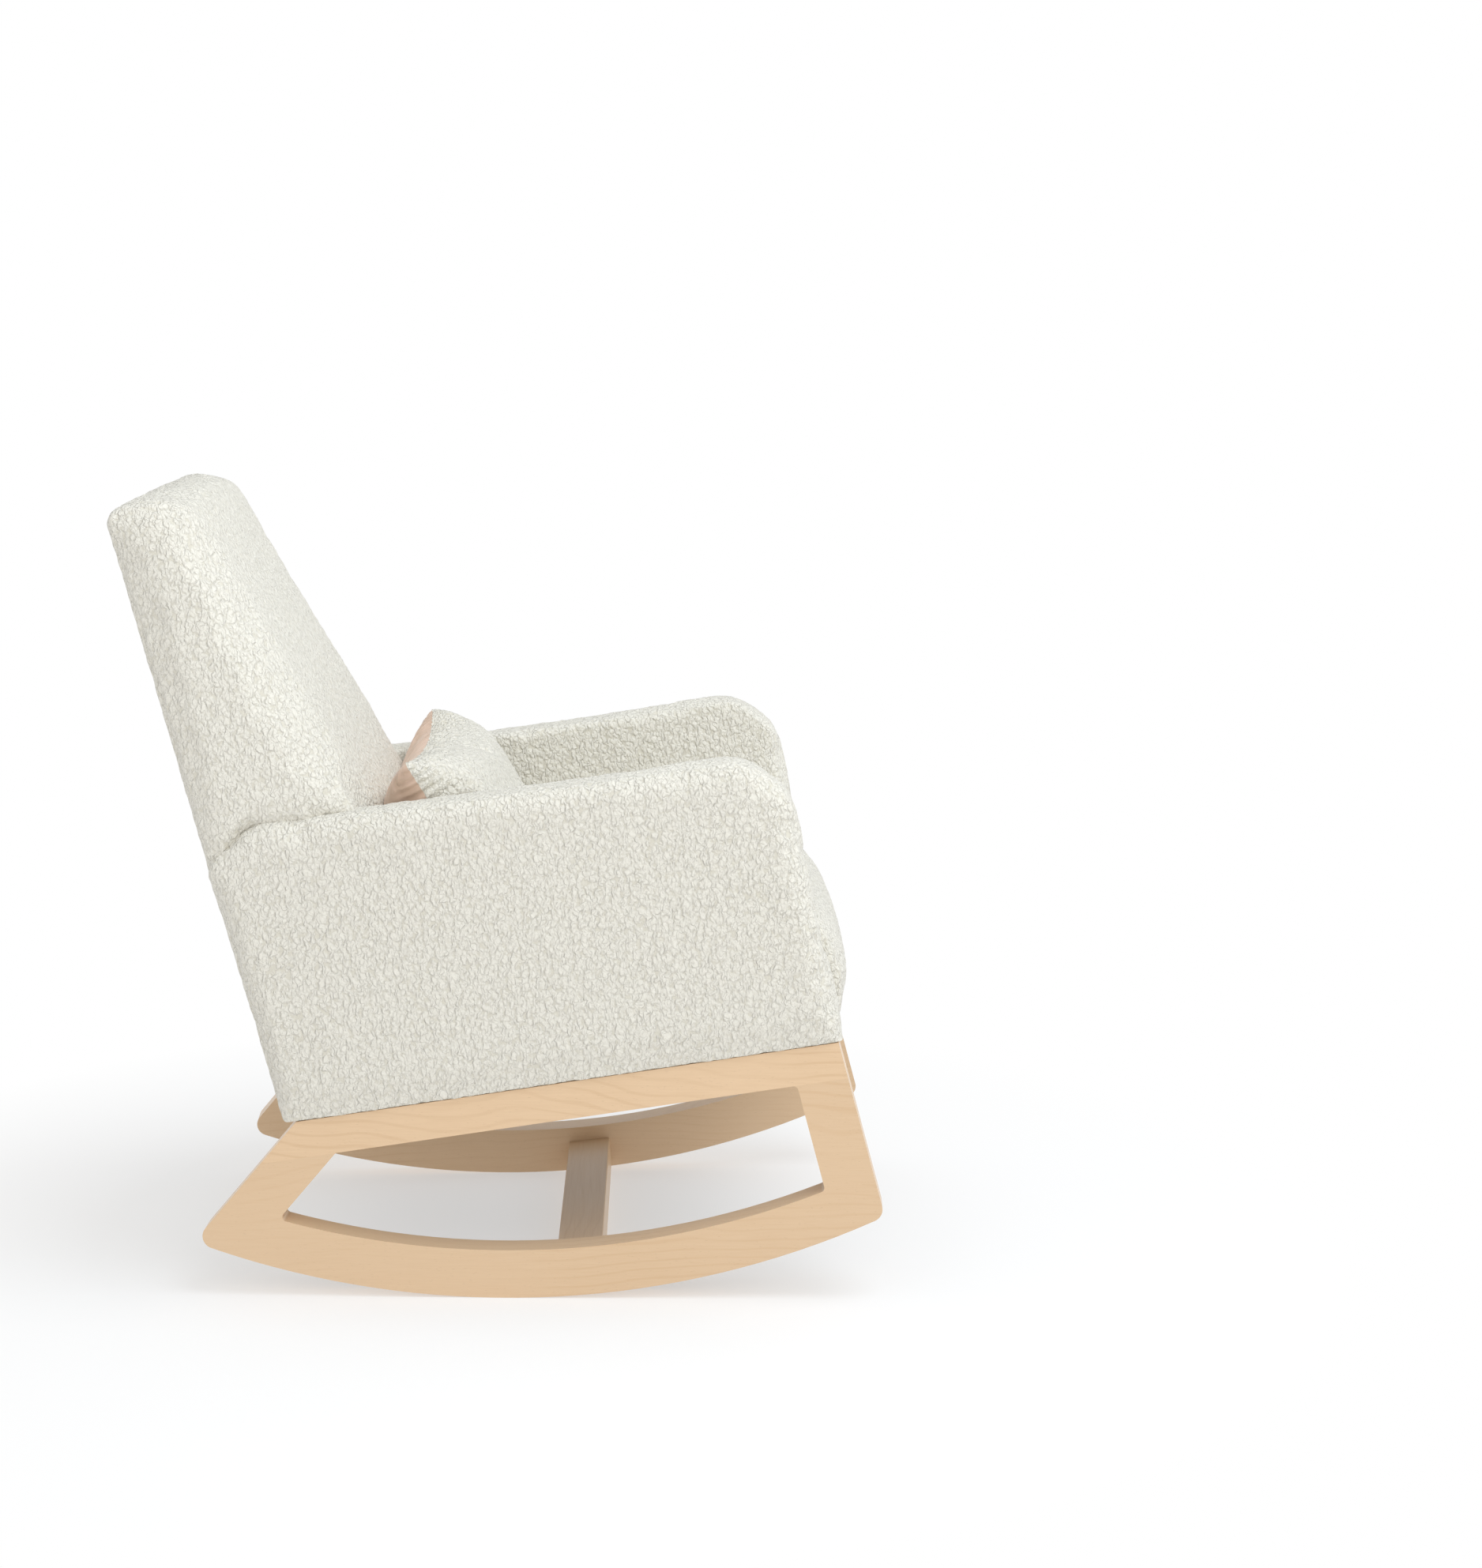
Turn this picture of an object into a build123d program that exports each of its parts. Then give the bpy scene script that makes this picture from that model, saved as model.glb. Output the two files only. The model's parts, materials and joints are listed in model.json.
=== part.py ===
"""Nursery rocking chair: two splayed maple side frames on curved runners, an upholstered
body bolted on top of them, and a loose lumbar pillow.

Frame of the part: millimetres, +Z up, the chair faces -Y, X runs across it.
The origin is on the floor, on the centre line, halfway along the chair's length.
Side outlines are drawn as (forward, up) pairs from the point where the runners touch down:
forward is -Y, up is Z. Every piece is moved by FOOTPRINT_SHIFT as it is written out.
"""
from build123d import *
import os
from math import atan, cos, degrees, sin, sqrt, tan

os.makedirs("parts", exist_ok=True)

# ---- driving dimensions -------------------------------------------------------------
BOARD = 38.0            # thickness of every frame board
HALF_SPACING = 278.8    # centre line to the outer face of a frame, above the contact point
SPLAY = atan(0.0433)    # each frame opens towards the front by this angle
ROCK_R = 1088.3         # radius of the runner's lower edge, centred straight above the contact
OPENING_R = 1042.5      # radius of the runner's upper edge
OPENING_C = (0.8, 1104.1)
RAIL_SLOPE = 0.156      # the top rail climbs this much per millimetre forward
RAIL_DEPTH = 47.0
RAIL_TOP_0 = 264.5      # height of the rail's top above the contact point
FRONT_LEAN = -0.2638    # forward per up, along the front post
BACK_LEAN = 0.8458      # forward per up, along the back post
CORNER_R = 16.0         # tips of the runner
INNER_R = 6.0           # corners of the frame's opening
EASE = 2.0              # eased edges of the stretcher

PAD_PROUD = 4.0         # upholstery stands this far outside the frame
ARM_T = 66.0            # thickness of an arm pad
ARM_HOLLOW = 31.0
DECK = 70.5             # height of the seat box above the rail's top
RAIL_T = 25.0           # thickness of the seat box side rails
STRAP_W = 50.0          # webbing of the seat and of the back
STRAP_T = 2.5
CLOTH = DECK + STRAP_T + 0.5    # underside of the seat padding, above the rail's top
PANEL_T = 4.0           # padded rear panel
REAR_LOW = (-262.0, 236.0)
REAR_TOP = (-460.0, 966.0)

REACH = 320.0           # longer than any half width of the chair
FOOTPRINT_SHIFT = 7.15  # from the contact point to the middle of the length, along +Y


# ---- lines of the side view ---------------------------------------------------------
def front_outer(v):
    return 501.5 + FRONT_LEAN * v


def front_inner(v):
    return 436.6 + FRONT_LEAN * v


def back_outer(v):
    return -443.5 + BACK_LEAN * v


def back_inner(v):
    return -362.0 + BACK_LEAN * v


def rail_top(u):
    return RAIL_TOP_0 + RAIL_SLOPE * u


def rail_low(u):
    return rail_top(u) - RAIL_DEPTH


def meet_rail(offset, lean, height):
    """Where a post line crosses a line parallel to the rail."""
    u = (offset + lean * height) / (1 - lean * RAIL_SLOPE)
    return (u, height + RAIL_SLOPE * u)


def sole(u):
    return ROCK_R - sqrt(ROCK_R**2 - u**2)


def opening_floor(u):
    return OPENING_C[1] - sqrt(OPENING_R**2 - (u - OPENING_C[0]) ** 2)


RAIL_BACK_TOP = meet_rail(-443.5, BACK_LEAN, RAIL_TOP_0)
RAIL_BACK_LOW = meet_rail(-443.5, BACK_LEAN, RAIL_TOP_0 - RAIL_DEPTH)
RAIL_FRONT_TOP = meet_rail(501.5, FRONT_LEAN, RAIL_TOP_0)
RAIL_FRONT_LOW = meet_rail(501.5, FRONT_LEAN, RAIL_TOP_0 - RAIL_DEPTH)
HOLE_BACK_TOP = meet_rail(-362.0, BACK_LEAN, RAIL_TOP_0 - RAIL_DEPTH)
HOLE_FRONT_TOP = meet_rail(436.6, FRONT_LEAN, RAIL_TOP_0 - RAIL_DEPTH)
BACK_TIP = (-384.2, sole(384.2))
FRONT_TIP = (472.9, sole(472.9))
HOLE_BACK_LOW = (-277.8, opening_floor(-277.8))
HOLE_FRONT_LOW = (399.3, opening_floor(399.3))
SCARF_LOW = (-287.0, sole(287.0))
SCARF_TOP = (-137.0, opening_floor(-137.0))
FRONT_JOINT = (461.4, 152.0)

# ---- planes -------------------------------------------------------------------------
CENTRE = Plane(origin=(0, 0, 0), x_dir=(0, -1, 0), z_dir=(-1, 0, 0))
OUTER = Plane(
    origin=(-HALF_SPACING, 0, 0),
    x_dir=(-sin(SPLAY), -cos(SPLAY), 0),
    z_dir=(-cos(SPLAY), sin(SPLAY), 0),
)
PAD_OUTER = OUTER.offset(PAD_PROUD)


def on_board(u, v, along, depth=BOARD / 2):
    """A plane inside the right frame at (u, v), its normal along the (forward, up) direction."""
    point = OUTER.from_local_coords((u, v, -depth))
    normal = OUTER.x_dir * along[0] + Vector(0, 0, 1) * along[1]
    return Plane(origin=point, x_dir=OUTER.z_dir, z_dir=normal)


def half_width(depth, u):
    """Half the clear width at u between planes that lie depth inside the frames' outer faces."""
    return HALF_SPACING - depth / cos(SPLAY) + tan(SPLAY) * u


def between_outline(depth):
    """Plan outline of the space between those planes."""
    rear, front = -520.0, 540.0
    a = half_width(depth, rear)
    b = half_width(depth, front)
    return [(-a, -rear), (a, -rear), (b, -front), (-b, -front)]


# ---- side frames --------------------------------------------------------------------
with BuildSketch() as opening_outline:
    with BuildLine():
        Polyline(HOLE_BACK_LOW, HOLE_BACK_TOP, HOLE_FRONT_TOP, HOLE_FRONT_LOW)
        ThreePointArc(HOLE_FRONT_LOW, (0.8, OPENING_C[1] - OPENING_R), HOLE_BACK_LOW)
    make_face()
    fillet(opening_outline.vertices(), INNER_R)

with BuildSketch() as frame_outline:
    with BuildLine():
        Polyline(BACK_TIP, RAIL_BACK_TOP, RAIL_FRONT_TOP, FRONT_TIP)
        ThreePointArc(FRONT_TIP, (0, 0), BACK_TIP)
    make_face()
    fillet(frame_outline.vertices().group_by(Axis.Y)[0], CORNER_R)
    fillet(frame_outline.vertices().group_by(Axis.X)[-1], CORNER_R)
    add(opening_outline.sketch, mode=Mode.SUBTRACT)

with BuildPart() as frame_blank:
    with BuildSketch(OUTER):
        add(frame_outline.sketch)
    extrude(amount=-BOARD)

DOWEL_D = 10.0
DOWEL_L = 32.0


def along_line(a, b, share):
    return (a[0] + (b[0] - a[0]) * share, a[1] + (b[1] - a[1]) * share)


def across(a, b):
    """Unit direction square to the line a-b."""
    du, dv = b[0] - a[0], b[1] - a[1]
    span = sqrt(du * du + dv * dv)
    return (-dv / span, du / span)


CORNER_JOINTS = [
    (RAIL_BACK_LOW, HOLE_BACK_TOP, (0.38, 0.72)),
    (HOLE_FRONT_TOP, RAIL_FRONT_LOW, (0.28, 0.72)),
    (SCARF_LOW, SCARF_TOP, (0.38, 0.62)),
    (HOLE_FRONT_LOW, FRONT_JOINT, (0.28, 0.72)),
]
dowel_planes = [
    on_board(*along_line(a, b, share), across(a, b)) for a, b, shares in CORNER_JOINTS for share in shares
]

with BuildPart() as dowels_right:
    with Locations(*dowel_planes):
        Cylinder(DOWEL_D / 2, DOWEL_L)

# the stretcher between the runners, laid square to the sole where it crosses it
STRETCHER_U = 95.0
STRETCHER_SIZE = (57.0, 36.0)
STRETCHER_LIFT = 24.0   # its centre above the sole
stretcher_turn = degrees(atan(STRETCHER_U / ROCK_R))
stretcher_centre = (STRETCHER_U, sole(STRETCHER_U) + STRETCHER_LIFT)

END_DOWELS = [(-14.0, -1.2), (14.0, 1.2)]
with BuildPart() as end_dowels_right:
    with BuildSketch(OUTER.offset(-BOARD + 18)):
        with Locations(*[(stretcher_centre[0] + a, stretcher_centre[1] + b) for a, b in END_DOWELS]):
            Circle(DOWEL_D / 2)
    extrude(amount=-38)

with BuildPart() as base_stretcher:
    with BuildSketch(CENTRE):
        with Locations(Location((*stretcher_centre, 0), (0, 0, stretcher_turn))):
            Rectangle(*STRETCHER_SIZE)
    extrude(amount=REACH, both=True)
    fillet(base_stretcher.edges().filter_by(Axis.X), EASE)
    with BuildSketch(Plane.XY):
        Polygon(*between_outline(BOARD), align=None)
    extrude(amount=200, mode=Mode.INTERSECT)
    add(end_dowels_right.part, mode=Mode.SUBTRACT)
    add(mirror(end_dowels_right.part, about=Plane.YZ, mode=Mode.PRIVATE), mode=Mode.SUBTRACT)

# bolts from under each top rail into the seat box
BOLT_U = (-165.0, 95.0, 335.0)
BOLT_DEPTH = 18.5
BORE_DEPTH = 10.0
rail_normal = (-sin(atan(RAIL_SLOPE)), cos(atan(RAIL_SLOPE)))
rail_thick = RAIL_DEPTH * cos(atan(RAIL_SLOPE))
bolt_planes = [on_board(u, rail_low(u), rail_normal, BOLT_DEPTH) for u in BOLT_U]
UP = (Align.CENTER, Align.CENTER, Align.MIN)

with BuildPart() as bolt_bores:
    with Locations(*bolt_planes):
        Cylinder(4.0, 75, align=UP)
        Cylinder(9.0, BORE_DEPTH, align=UP)

with BuildPart() as bolts_right:
    with Locations(*[plane.offset(BORE_DEPTH - 1.5) for plane in bolt_planes]):
        Cylinder(4.0, 62, align=UP)
    with Locations(*[plane.offset(BORE_DEPTH - 7.5) for plane in bolt_planes]):
        Cylinder(6.5, 6, align=UP)
    fillet(bolts_right.edges().filter_by(GeomType.CIRCLE).group_by(SortBy.RADIUS)[-1], 0.6)
    for plane in bolt_planes:
        with BuildSketch(plane.offset(BORE_DEPTH - 7.5)):
            RegularPolygon(3.0, 6)
        extrude(amount=3.5, mode=Mode.SUBTRACT)

with BuildPart() as washers_right:
    for plane in bolt_planes:
        with BuildSketch(plane.offset(BORE_DEPTH - 1.5)):
            Circle(8.0)
            Circle(4.0, mode=Mode.SUBTRACT)
        extrude(amount=1.5)

LOW, HIGH = -60.0, 420.0
zones = {
    "top_rail": [
        (-420, rail_low(-420)),
        (520, rail_low(520)),
        (520, HIGH),
        (-420, HIGH),
    ],
    "back_post": [
        along_line(SCARF_TOP, SCARF_LOW, -0.2),
        along_line(SCARF_TOP, SCARF_LOW, 2.0),
        (-460, rail_low(-460)),
        (-107, rail_low(-107)),
    ],
    "front_post": [
        along_line(HOLE_FRONT_LOW, FRONT_JOINT, -0.5),
        along_line(HOLE_FRONT_LOW, FRONT_JOINT, 2.0),
        (540, rail_low(540)),
        (340, rail_low(340)),
    ],
    "runner": [
        along_line(SCARF_TOP, SCARF_LOW, -0.2),
        along_line(SCARF_TOP, SCARF_LOW, 2.0),
        (-400, LOW),
        (560, LOW),
        along_line(HOLE_FRONT_LOW, FRONT_JOINT, 2.0),
        along_line(HOLE_FRONT_LOW, FRONT_JOINT, -0.5),
    ],
}
cutters = {
    "top_rail": [dowels_right, bolt_bores],
    "back_post": [dowels_right],
    "front_post": [dowels_right],
    "runner": [dowels_right, end_dowels_right],
}


frame_pieces = {}
for name, zone in zones.items():
    with BuildPart() as piece:
        add(frame_blank.part)
        with BuildSketch(OUTER.offset(10)):
            Polygon(*zone, align=None)
        extrude(amount=-BOARD - 20, mode=Mode.INTERSECT)
        for cutter in cutters[name]:
            add(cutter.part, mode=Mode.SUBTRACT)
    frame_pieces[name] = piece

# ---- seat box -----------------------------------------------------------------------
BOX_REAR, BOX_FRONT = -225.0, 388.0
CROSS_T = 22.0
SIDE_IN = 6.0           # outer face of a side rail, inside the frame's outer face


def strip(u0, u1, low, high):
    """A band parallel to the rail's top between two heights above it."""
    return [
        (u0, rail_top(u0) + low),
        (u1, rail_top(u1) + low),
        (u1, rail_top(u1) + high),
        (u0, rail_top(u0) + high),
    ]


with BuildPart() as side_rail_right:
    with BuildSketch(OUTER.offset(-SIDE_IN)):
        Polygon(*strip(BOX_REAR, BOX_FRONT, 0, DECK), align=None)
    extrude(amount=-RAIL_T)
    add(bolt_bores.part, mode=Mode.SUBTRACT)


def cross_rail(u0):
    """A rail between the two side rails."""
    with BuildPart() as rail:
        with BuildSketch(CENTRE):
            Polygon(*strip(u0, u0 + CROSS_T, 3, DECK - 2.5), align=None)
        extrude(amount=REACH, both=True)
        with BuildSketch(Plane.XY):
            Polygon(*between_outline(SIDE_IN + RAIL_T), align=None)
        extrude(amount=500, mode=Mode.INTERSECT)
    return rail


seat_front_rail = cross_rail(BOX_FRONT - CROSS_T)
seat_back_rail = cross_rail(BOX_REAR)

BLOCK = 46.0
block_feet = [
    (BOX_FRONT - CROSS_T, -1, rail_top(BOX_FRONT - CROSS_T) + 6),
    (BOX_REAR + CROSS_T, 1, rail_top(BOX_REAR + CROSS_T) + 10),
]
with BuildPart() as corner_blocks:
    for u0, step, height in block_feet:
        reach = u0 + step * BLOCK
        with BuildSketch(Plane.XY.offset(height)):
            for side in (-1, 1):
                Polygon(
                    (side * half_width(SIDE_IN + RAIL_T, u0), -u0),
                    (side * (half_width(SIDE_IN + RAIL_T, u0) - BLOCK), -u0),
                    (side * half_width(SIDE_IN + RAIL_T, reach), -reach),
                    align=None,
                )
        extrude(amount=45)

# elastic straps: five from back to front on the cross rails, four across on the side rails
with BuildPart() as seat_webbing:
    with BuildSketch(CENTRE):
        Polygon(*strip(BOX_REAR, BOX_FRONT, DECK - STRAP_T, DECK), align=None)
    extrude(amount=REACH, both=True)
    with BuildSketch(Plane.XY):
        with GridLocations(84, 1, 5, 1):
            Rectangle(STRAP_W, 1400)
    extrude(amount=500, mode=Mode.INTERSECT)
    for u0 in (-170.0, -40.0, 90.0, 220.0, 330.0):
        with BuildSketch(CENTRE):
            Polygon(*strip(u0 - STRAP_W / 2, u0 + STRAP_W / 2, DECK, DECK + STRAP_T), align=None)
        extrude(amount=half_width(SIDE_IN + RAIL_T - 15, u0 - STRAP_W / 2), both=True)

with BuildPart() as dust_cover:
    with BuildSketch(CENTRE):
        Polygon(*strip(BOX_REAR, BOX_FRONT, 0.5, 2.5), align=None)
    extrude(amount=REACH, both=True)
    with BuildSketch(Plane.XY):
        Polygon(*between_outline(SIDE_IN + RAIL_T + 0.5), align=None)
    extrude(amount=500, mode=Mode.INTERSECT)

# ---- rear line of the body ----------------------------------------------------------
rear_span = sqrt((REAR_TOP[0] - REAR_LOW[0]) ** 2 + (REAR_TOP[1] - REAR_LOW[1]) ** 2)
REAR_DIR = ((REAR_TOP[0] - REAR_LOW[0]) / rear_span, (REAR_TOP[1] - REAR_LOW[1]) / rear_span)


def rear(s, inward=0.0):
    """A point s along the rear line from its foot, and inward of it."""
    return (
        REAR_LOW[0] + REAR_DIR[0] * s + REAR_DIR[1] * inward,
        REAR_LOW[1] + REAR_DIR[1] * s - REAR_DIR[0] * inward,
    )


def rear_on_rail(height, inward=0.0):
    """Where the rear line meets a line that runs height above the rail's top."""
    u0, v0 = rear(0, inward)
    s = (rail_top(u0) + height - v0) / (REAR_DIR[1] - RAIL_SLOPE * REAR_DIR[0])
    return rear(s, inward)


def rear_at(v, inward=0.0):
    """The same, at a height."""
    return rear((v - REAR_LOW[1] + REAR_DIR[0] * inward) / REAR_DIR[1], inward)


# ---- arms ---------------------------------------------------------------------------
ARM_REAR_V = 545.0
ARM_TOP_REAR = (-338.0, 598.0)
ARM_TOP_FRONT = (322.0, 684.0)


def arm_front(v):
    """The arm's front edge at a height."""
    return min(421.0, 396.0 + 24.0 * (466.0 - v) / 116.0)


def arm_outline(inset=0.0, foot=0.0):
    """Outline of an arm in its own side plane, drawn in by inset, standing foot above the rail."""
    foot_u = arm_front(rail_top(415) + foot) - inset
    return [
        rear_on_rail(foot, PANEL_T + inset),
        rear_at(ARM_REAR_V - inset, PANEL_T + inset),
        (ARM_TOP_REAR[0] + 44 + inset * 0.6, ARM_TOP_REAR[1] - inset),
        (ARM_TOP_FRONT[0] - 30 - inset, ARM_TOP_FRONT[1] - 4 - inset),
        (352 - inset, 640 - inset * 0.5),
        (396 - inset, 466),
        (foot_u, rail_top(foot_u) + foot),
    ]


def rounded_arm(inset=0.0, foot=0.0):
    """The outline as a face with its three upper corners rounded."""
    with BuildSketch() as sketch:
        Polygon(*arm_outline(inset, foot), align=None)
        corners = sketch.vertices().sort_by(Axis.Y)
        fillet(corners[-1], 46 - inset)
        fillet(sketch.vertices().sort_by(Axis.Y).filter_by(lambda p: p.X > 345 - inset and p.Y > 600), 30)
        fillet(sketch.vertices().filter_by(lambda p: p.X < -280 and p.Y > 560 - inset), 34)
    return sketch.sketch


with BuildPart() as arm_board_right:
    with BuildSketch(OUTER.offset(-12)):
        Polygon(*arm_outline(26, CLOTH), align=None)
    extrude(amount=-12)

with BuildPart() as arm_pad_right:
    with BuildSketch(PAD_OUTER):
        add(rounded_arm())
    extrude(amount=-ARM_T)
    top_edges = arm_pad_right.faces().filter_by(PAD_OUTER).edges()
    fillet(top_edges.filter_by(lambda e: e.center().Z > 352), 20)
    # room for the side rail, open to the seat box, and for the arm board above it
    with BuildSketch(OUTER.offset(0.2 - SIDE_IN)):
        Polygon(*strip(BOX_REAR - 14, BOX_FRONT + 2, -5, CLOTH), align=None)
    extrude(amount=-ARM_T - 20, mode=Mode.SUBTRACT)
    with BuildSketch(OUTER.offset(-12)):
        Polygon(*arm_outline(26, CLOTH - 6), align=None)
    extrude(amount=-12, mode=Mode.SUBTRACT)
    # the rear half of the arm is hollow on the inner side of the board
    with BuildSketch(OUTER.offset(-20)):
        Polygon((-285, 352), (20, 400), (20, 598), (-292, 540), align=None)
    extrude(amount=-ARM_HOLLOW, mode=Mode.SUBTRACT)

# ---- seat cushion -------------------------------------------------------------------
SEAT_REAR = -70.0
with BuildPart() as seat_cushion:
    with BuildSketch(CENTRE):
        with BuildLine():
            Polyline(
                (355, 506),
                (SEAT_REAR, 428),
                (SEAT_REAR, rail_top(SEAT_REAR) + CLOTH),
                (BOX_FRONT + 2, rail_top(BOX_FRONT + 2) + CLOTH),
                (BOX_FRONT + 2, rail_top(BOX_FRONT + 2) + 0.5),
                (421, rail_top(421) + 0.5),
                (429, 400),
            )
            Spline((429, 400), (421, 446), (399, 484), (355, 506), tangents=[(0, 1), (-1, -0.16)])
        make_face()
    extrude(amount=REACH, both=True)
    with BuildSketch(Plane.XY):
        Polygon(*between_outline(ARM_T - PAD_PROUD + 0.5), align=None)
    extrude(amount=600, mode=Mode.INTERSECT)

# ---- back ---------------------------------------------------------------------------
BACK_SLOPE = 0.546      # forward per millimetre down, along the front of the back
BACK_TOP_V = 1001.0


def back_face(v, inset=0.0):
    """The front of the back at a height, drawn in by inset."""
    return (-165.0 + BACK_SLOPE * (649.0 - v) - inset, v)


FOAM = 54.0             # padding between the webbing and the front of the back
FOAM_FOOT = 12.0        # extra padding at the foot of the back
BACK_FOOT_U = SEAT_REAR - 4.0
BACK_FOOT_V = 649.0 - (BACK_FOOT_U + 165.0) / BACK_SLOPE
deck_at_back = rail_top(BACK_FOOT_U) + CLOTH

back_side = [
    rear_on_rail(CLOTH, PANEL_T),
    rear(rear_span, PANEL_T),
    back_face(BACK_TOP_V),
    (BACK_FOOT_U, BACK_FOOT_V),
    (BACK_FOOT_U, deck_at_back),
]

# the wooden side of the back, a wedge from the rear panel to the webbing
BOARD_FOOT_U = back_face(430, FOAM + FOAM_FOOT)[0]
board_side = [
    rear(665, PANEL_T),
    rear(665, PANEL_T + 26),
    back_face(790, FOAM),
    back_face(430, FOAM + FOAM_FOOT),
    (BOARD_FOOT_U, rail_top(BOARD_FOOT_U) + CLOTH),
    rear_on_rail(CLOTH, PANEL_T),
]
BACK_BOARD_X = (184.0, 202.0)
POCKET_X = 205.0

back_front_view = [(-292, 250), (-216, 1040), (216, 1040), (292, 250)]

with BuildPart() as back_cushion:
    with BuildSketch(CENTRE) as back_profile:
        Polygon(*back_side, align=None)
        fillet(back_profile.vertices().filter_by(lambda p: 960 < p.Y < 975), 26)
        fillet(back_profile.vertices().filter_by(lambda p: p.Y > 995), 44)
        fillet(back_profile.vertices().filter_by(lambda p: 475 < p.Y < 490), 30)
    extrude(amount=REACH, both=True)
    with BuildSketch(Plane.XZ):
        Polygon(*back_front_view, align=None)
    extrude(amount=700, both=True, mode=Mode.INTERSECT)
    sides = back_cushion.faces().filter_by(lambda f: abs(f.normal_at().X) > 0.9)
    upper = sides.edges().filter_by(lambda e: e.center().Z > 500)
    fillet(upper.filter_by(lambda e: e.center().Y < -rear_at(e.center().Z, 12)[0]), 20)
    # the arms pass beside the lower part
    with BuildSketch(OUTER.offset(30)):
        add(rounded_arm(-0.6, 0.0))
        Polygon(*strip(-300, 100, -80, 130), align=None)
    extrude(amount=-30 - ARM_T + PAD_PROUD - 0.5, mode=Mode.SUBTRACT)
    mirror_cut = Plane(
        origin=(HALF_SPACING, 0, 0),
        x_dir=(sin(SPLAY), -cos(SPLAY), 0),
        z_dir=(-cos(SPLAY), -sin(SPLAY), 0),
    )
    with BuildSketch(mirror_cut.offset(-30)):
        add(rounded_arm(-0.6, 0.0))
        Polygon(*strip(-300, 100, -80, 130), align=None)
    extrude(amount=30 + ARM_T - PAD_PROUD + 0.5, mode=Mode.SUBTRACT)
    # the hollow that takes the wooden frame, closed behind by the rear panel
    with BuildSketch(CENTRE):
        Polygon(
            rear(-40, 0),
            rear(668, 0),
            rear(668, PANEL_T + 30),
            back_face(792, FOAM - STRAP_T - 1),
            back_face(430, FOAM + FOAM_FOOT - STRAP_T - 1),
            (back_face(430, FOAM + FOAM_FOOT - STRAP_T - 1)[0], 200),
            align=None,
        )
    extrude(amount=POCKET_X, both=True, mode=Mode.SUBTRACT)

with BuildPart() as back_board_right:
    with BuildSketch(CENTRE.offset(BACK_BOARD_X[0])):
        Polygon(*board_side, align=None)
        Polygon(
            rear(140, PANEL_T + 38),
            rear(560, PANEL_T + 36),
            back_face(736, FOAM + 38),
            back_face(450, FOAM + FOAM_FOOT + 36),
            align=None,
            mode=Mode.SUBTRACT,
        )
    extrude(amount=BACK_BOARD_X[1] - BACK_BOARD_X[0])


def back_rail(s0, s1, low, high):
    """A board between the two sides of the back, from s0 to s1 up the rear line."""
    with BuildPart() as rail:
        with BuildSketch(CENTRE):
            Polygon(rear(s0, low), rear(s1, low), rear(s1, high), rear(s0, high), align=None)
        extrude(amount=BACK_BOARD_X[0], both=True)
    return rail


back_head_rail = back_rail(615, 662, PANEL_T, PANEL_T + 24)
back_lumbar_rail = back_rail(260, 310, PANEL_T, PANEL_T + 24)

# straps across the front of the wedge
STRAP_V = (470.0, 538.0, 606.0, 674.0, 742.0)
with BuildPart() as back_webbing:
    for v in STRAP_V:
        low = back_face(v, FOAM + FOAM_FOOT * (790 - v) / 360.0)
        high = back_face(v + 46, FOAM + FOAM_FOOT * (744 - v) / 360.0)
        with BuildSketch(CENTRE):
            with BuildLine():
                Polyline(low, high, (high[0] + STRAP_T, high[1]), (low[0] + STRAP_T, low[1]), low)
            make_face()
        extrude(amount=BACK_BOARD_X[1], both=True)

# padded panel over the whole rear of the body
rear_plane = Plane(
    origin=(0, -REAR_LOW[0], REAR_LOW[1]),
    x_dir=(-1, 0, 0),
    z_dir=(0, REAR_DIR[1], REAR_DIR[0]),
)
ARM_STEP_S = (ARM_REAR_V + 18 - REAR_LOW[1]) / REAR_DIR[1]
with BuildPart() as back_panel:
    with BuildSketch(rear_plane):
        Polygon(
            (-half_width(-PAD_PROUD, -258), -12),
            (-half_width(-PAD_PROUD, -350), ARM_STEP_S),
            (-258, ARM_STEP_S + 12),
            (-224, rear_span - 12),
            (224, rear_span - 12),
            (258, ARM_STEP_S + 12),
            (half_width(-PAD_PROUD, -350), ARM_STEP_S),
            (half_width(-PAD_PROUD, -258), -12),
            align=None,
        )
    extrude(amount=-PANEL_T)

# ---- lumbar pillow ------------------------------------------------------------------
PILLOW_LEAN = 29.0
PILLOW_SIZE = (424.0, 246.0)
PILLOW_TOP = (-107.0, 662.0)
PILLOW_FRONT_T = 76.0
PILLOW_BACK_T = 50.0
lean = PILLOW_LEAN * 3.14159265 / 180
pillow_centre = (
    PILLOW_TOP[0] + sin(lean) * PILLOW_SIZE[1] / 2,
    PILLOW_TOP[1] - cos(lean) * PILLOW_SIZE[1] / 2,
)
pillow_plane = Plane(
    origin=(0, -pillow_centre[0], pillow_centre[1]),
    x_dir=(1, 0, 0),
    z_dir=(0, -cos(lean), sin(lean)),
)

# share of the thickness, then how far the outline has drawn in there and its corner radius
PILLOW_SECTIONS = [(0.0, 0.0, 24), (0.45, 24.0, 40), (0.8, 62.0, 46), (1.0, 100.0, 20)]


def pillow_half(thickness):
    """Half of the pillow, from its seam outward; a negative thickness faces the back."""
    with BuildPart() as half:
        for share, drawn_in, radius in PILLOW_SECTIONS:
            with BuildSketch(pillow_plane.offset(thickness * share)):
                RectangleRounded(PILLOW_SIZE[0] - 2 * drawn_in, PILLOW_SIZE[1] - 2 * drawn_in, radius)
        loft(ruled=True)
    return half


pillow_front = pillow_half(PILLOW_FRONT_T)
pillow_back = pillow_half(-PILLOW_BACK_T)


# ---- export -------------------------------------------------------------------------
def mirrored(builder):
    """The left-hand twin of a right-hand piece."""
    with BuildPart() as twin:
        mirror(builder.part, about=Plane.YZ)
    return twin


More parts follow.
